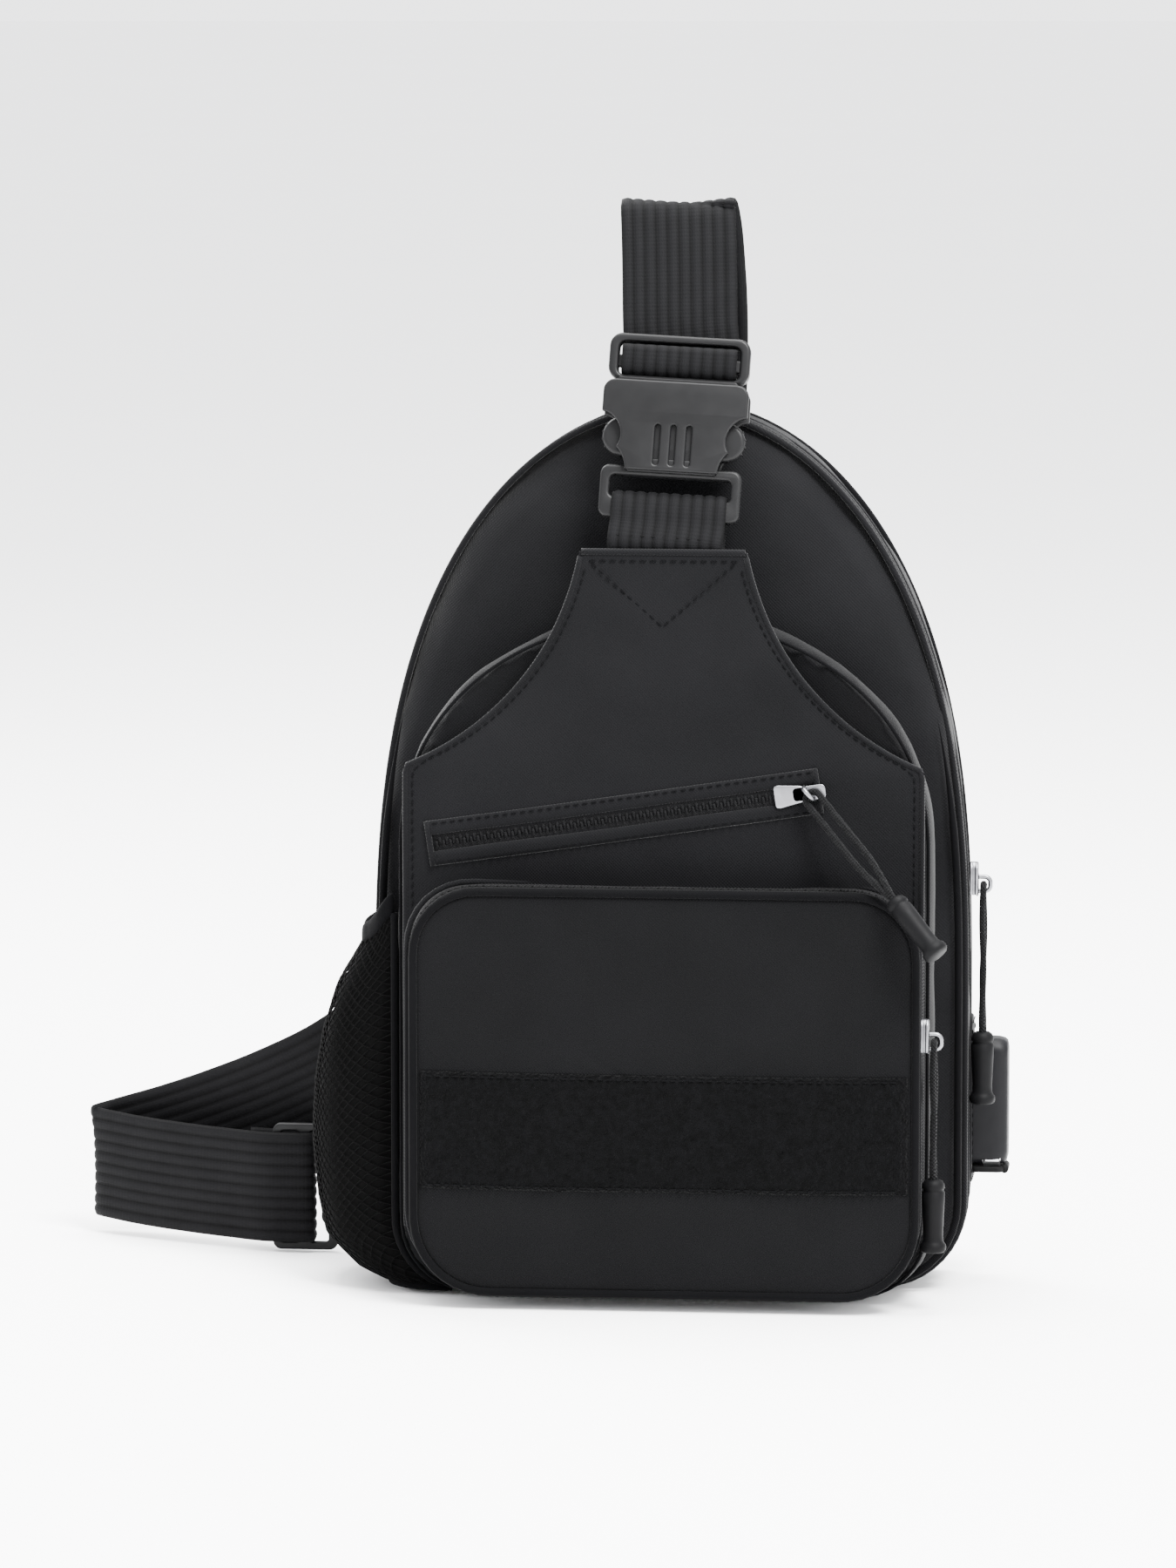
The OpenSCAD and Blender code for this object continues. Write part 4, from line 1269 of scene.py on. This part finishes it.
def buckle_arm(node):
    """Sprung arm: a rounded button with grip lines on a stem that bends at its root."""
    low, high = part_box(node)
    sign = -1 if low.x + high.x < 0 else 1
    lobe = [(sign * (LOBE_X + LOBE_R * math.cos(a)), LOBE_Z + 6.7 * math.sin(a))
            for a in (2 * math.pi * k / 48 for k in range(48))]
    stem = [(sign * x, z) for x, z in ((13.5, 34), (17.5, 34), (17.6, 42), (17.2, 47.2), (13.8, 47.2), (13.4, 42))]
    root = [(sign * 15.5 + 2.1 * math.cos(k * math.pi / 8), 47.4 + 2.1 * math.sin(k * math.pi / 8))
            for k in range(16)]
    pieces = [buckle_plate(node, [lobe], -2.7, 2.7, 1.5, 5), buckle_plate(node, [stem], -2.2, 2.2, 0.5),
              buckle_plate(node, [root], -2.4, 2.4, 0.4)]
    for k in range(4):
        z = 32.9 + k * 2.4
        reach = LOBE_X + math.sqrt(max(0.0, LOBE_R ** 2 - (z - LOBE_Z) ** 2)) - 0.1
        line = [Vector((sign * reach, y, z)) for y in (-1.7, 0, 1.7)]
        pieces.append(tube("grip", line, 0.42, "buckle_plastic", body=node, matrix=leaned()))
    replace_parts(joined(node + "_button", *pieces), node)


def strap_adjuster():
    """Three-bar slide that the strap's low end and the corner tab both run round."""
    shape = rounded_box(11.25, 0.3, 44.3, 3.0, 6, -130.25)
    holes = [rounded_box(2.9, 3.2, 41.4, 0.9, 4, -135.5), rounded_box(3.0, 3.2, 41.4, 0.9, 4, -125.3)]
    ring = flat_plate("strap_adjuster", [shape] + holes, 54.0, 57.0, 0.9, "buckle_plastic", segments=4)
    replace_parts(ring, "tri_glide")


# ---------------------------------------------------------------- sliders, pulls and their cords
CORD_D, LOOP_R, EYE_Y = 2.2, 2.5, 4.75
DIAGONAL_EYE, MAIN_EYE, SIDE_EYE = (48.5, -28, 171.1), (99.2, MAIN_ZIP_Y, 136), (85.5, -35.5, 90)


def lathe(name, profile, look, body, matrix, sides=36):
    points = [(r * math.cos(2 * math.pi * k / sides), r * math.sin(2 * math.pi * k / sides), z)
              for r, z in profile for k in range(sides)]
    return mesh_piece(name, points, bridge_rings(len(profile), sides), look, body, matrix=matrix)


def pull(name, matrix, l, body, nodes):
    """A looped cord and its tapered toggle, hanging from an eye at the matrix's origin."""
    route = [Vector((-LOOP_R * 0.62, 0, -l - 2))]
    route += [Vector((-LOOP_R * ease(k, -1, 4), 0, lerp(-l, -LOOP_R - 2, k / 9))) for k in range(10)]
    route += [Vector((LOOP_R * math.cos(math.radians(180 - 15 * k)), 0,
                      -LOOP_R + LOOP_R * math.sin(math.radians(15 * k)))) for k in range(13)]
    route += [Vector((LOOP_R * ease(k, -1, 4), 0, lerp(-l, -LOOP_R - 2, k / 9))) for k in range(9, -1, -1)]
    route += [Vector((LOOP_R * 0.62, 0, -l - 2))]
    for i, point in enumerate(route):
        point.y = 0.25 * math.sin(i * 0.9) * (1 - near(i, 16, 8))
    fine = curve_through(route, 3)
    cord = tube(name + "_looped_cord", fine, CORD_D / 2, "cord", body, sides=10, matrix=matrix)
    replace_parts(cord, nodes[0])
    top = -l
    profile = [(0.4, top + 0.3), (2.2, top + 0.25), (3.2, top - 0.4), (3.7, top - 1.6), (3.8, top - 2.6),
               (3.45, top - 3.0), (3.45, top - 3.6), (3.8, top - 4.0), (3.72, top - 8), (3.5, top - 13),
               (3.3, top - 18), (3.35, top - 20), (3.7, top - 20.8), (4.25, top - 21.5), (4.35, top - 22.4),
               (4.25, top - 23.3), (3.7, top - 24), (0.4, top - 24.05)]
    toggle = lathe(name + "_moulded_toggle", profile, "toggle_rubber", body, matrix)
    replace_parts(toggle, nodes[1])


def pull_cords():
    eye = Vector(DIAGONAL_EYE) + Vector((0, -EYE_Y, 0))
    pull("diagonal_pull", Matrix.Translation(eye) @ turned("Y", -42) @ turned("X", -22), 47, "diagonal_pull",
         ("diagonal_pull_cord", "diagonal_pull_toggle"))
    for name, at, l in (("pocket_pull", SIDE_EYE, 46), ("main_pull", MAIN_EYE, 50)):
        place = Matrix.Translation(Vector(at)) @ turned("Z", 90) @ Matrix.Translation((0, -EYE_Y, 0))
        pull(name, place, l, name, (name + "_cord", name + "_toggle"))


def slider(node, place, slide_angle, pull_angle, offset):
    """Die-cast slider: a tapered body with a rounded nose, side flanges and the arch that holds the cord."""
    flat = place @ turned("Y", -slide_angle) @ Matrix.Translation((-offset, 0, 0))
    nose = []
    for k in range(17):
        a = math.radians(-90 + 180 * k / 16)
        nose.append((2.2 + 3.3 * math.cos(a), 3.0 * math.sin(a)))
    body = nose + [(-3.8, 3.9), (-5.1, 3.7), (-5.5, 2.9), (-5.5, -2.9), (-5.1, -3.7), (-3.8, -3.9)]
    rim = [(x, z * 0.86) for x, z in body]
    pieces = [flat_plate("body", [body], -3.1, -1.9, 0.5, "slider_metal", node, flat, 4),
              flat_plate("waist", [rim], -2.2, -1.0, 0.1, "slider_metal", node, flat),
              flat_plate("foot", [body], -1.25, -0.3, 0.3, "slider_metal", node, flat)]
    arch_frame = place @ turned("Y", -pull_angle)
    if offset:
        reach = 5.5 if offset > 0 else 4.0
        pieces.append(flat_plate("tail", [rounded_box(reach, -2.4, 2.4, 1.4)], -3.1, -2.4, 0.25, "slider_metal", node,
                                 place @ turned("Y", -slide_angle)))
    route = [(-2.4, -2.7), (-2.4, -5.1), (-2.1, -6.2), (-1.2, -6.95), (0, -7.05), (1.2, -6.95), (2.1, -6.2),
             (2.4, -5.1), (2.4, -2.7)]
    loop = curve_through([Vector((x, y, 0)) for x, y in route], 4)
    pieces.append(tube("loop", loop, 0.78, "slider_metal", node, 12, matrix=arch_frame))
    whole = joined(node + "_body", *pieces)
    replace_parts(whole, node)


def sliders():
    slider("diagonal_slider", Matrix.Translation(DIAGONAL_EYE), SLANT_DEGREES, -48, 6)
    for node, at in (("pocket_slider", SIDE_EYE), ("main_slider", MAIN_EYE)):
        slider(node, Matrix.Translation(at) @ turned("Z", 90), 90, 90, -2)


# ---------------------------------------------------------------- back pads and inside
def back_pad(node, name, z0, z1):
    """Ventilated foam pad with a rolled rim, two upright channels and a crossing one."""
    inner = outline(arch(half=82, low=17.5, spring=100, top=278, power=2.6, corner=20), 240)
    kept = [(x, min(z1, max(z0, z))) for x, z in inner]
    kept = [(v.x, v.y) for v in evenly([(x, z, 0) for x, z in kept], 130)]
    middle = (z0 + z1) / 2
    points = []
    rings = [(1.0, 42.6), (1.004, 44.2), (0.995, 45.8), (0.97, 47.3), (0.93, 48.4), (0.87, 49.0), (0.8, 49.3)]
    rings += [(scale, 49.4) for scale in (0.72, 0.63, 0.54, 0.45, 0.36, 0.27, 0.18, 0.09, 0.02)]
    for scale, y in rings:
        for x, z in kept:
            px, pz = x * scale, middle + (z - middle) * scale
            groove = 1.9 * max(near(abs(px), 25, 5), near(pz, middle, 4) * (1 if z1 - z0 > 125 else 0))
            soft = 0.35 * noise.noise(Vector((px / 24, pz / 24, 3)))
            points.append((px, y - (groove - soft) * ease(y, 47, 49.2), pz))
    pad = mesh_piece(name, points, bridge_rings(len(rings), len(kept)), "air_mesh")
    soften(pad)
    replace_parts(pad, node)
    rim = [Vector((x * 1.012, 43.6, middle + (z - middle) * 1.01)) for x, z in kept]
    tube(name + "_edge", rim, 1.4, "piping", closed=True)


def insides():
    """Padded divider and base board, hidden in the closed compartments."""
    low, high = (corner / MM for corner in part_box("inner_divider"))
    points, n = [], 24
    for j in range(n + 1):
        for i in range(n + 1):
            x, z = lerp(low.x + 1, high.x - 1, i / n), lerp(low.z + 0.5, high.z - 0.5, j / n)
            sway = 0.5 * math.sin(x / 17) * math.sin(z / 23)
            points.append((x, (low.y + high.y) / 2 + sway, z))
    divider = mesh_piece("padded_divider", points, grid_faces(n, n), "lining")
    thicken(divider, (high.y - low.y) * 0.7, 0)
    round_edges(divider, 0.6, 3, 50)
    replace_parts(divider, "inner_divider")
    low, high = (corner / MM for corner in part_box("base_board"))
    outer = rounded_box((high.x - low.x) / 2, -high.y, -low.y, 6)
    board = flat_plate("base_board_sheet", [outer], low.z, high.z, 0.3, "board", matrix=turned("X", 90))
    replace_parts(board, "base_board")


# ---------------------------------------------------------------- floor and light
def studio():
    """White floor, bright world and four soft lamps."""
    scene = bpy.context.scene
    floor_mat = Nodes("floor", (0.93, 0.93, 0.93), 0.8, Specular_IOR_Level=0.1)
    floor_mat.tint(floor_mat.noise(3, 2), 0.995, 1.005)
    bpy.ops.mesh.primitive_plane_add(size=60, location=(0, 0, -0.0004))
    floor = bpy.context.object
    floor.name = "floor"
    floor.data.materials.append(floor_mat.material)
    world = bpy.data.worlds.new("studio")
    world.use_nodes = True
    world.node_tree.nodes["Background"].inputs["Color"].default_value = (0.98, 0.985, 1.0, 1)
    world.node_tree.nodes["Background"].inputs["Strength"].default_value = 3.3
    scene.world = world

    def area(name, at, size, power, aim=(0, 0, 0.16)):
        lamp = bpy.data.lights.new(name, "AREA")
        lamp.size = size
        lamp.energy = power
        holder = bpy.data.objects.new(name, lamp)
        scene.collection.objects.link(holder)
        holder.location = at
        holder.rotation_euler = (Vector(at) - Vector(aim)).to_track_quat("Z", "Y").to_euler()

    area("key", (0.75, -1.0, 1.9), 0.8, 230)
    area("rim", (-0.9, 0.9, 1.2), 0.8, 40)
    area("fill", (1.5, -1.1, 0.7), 1.2, 20)
    area("overhead", (0, 0.1, 1.9), 1.3, 150)


# ---------------------------------------------------------------- everything, camera and cords first
make_camera()
pull_cords()
sliders()
body_shell()
front_compartment()
front_panel()
pipings()
main_zip()
welt_rims()
slanted_zip()
front_pocket()
loop_band()
mesh_pocket()
usb_outlet()
anchor_strap()
buckle()
strap_adjuster()
corner_tab()
back_pad("back_pad_upper", "back_pad_upper_foam", 140, 278)
back_pad("back_pad_lower", "back_pad_lower_foam", 18, 132)
insides()
shoulder_strap()
studio()
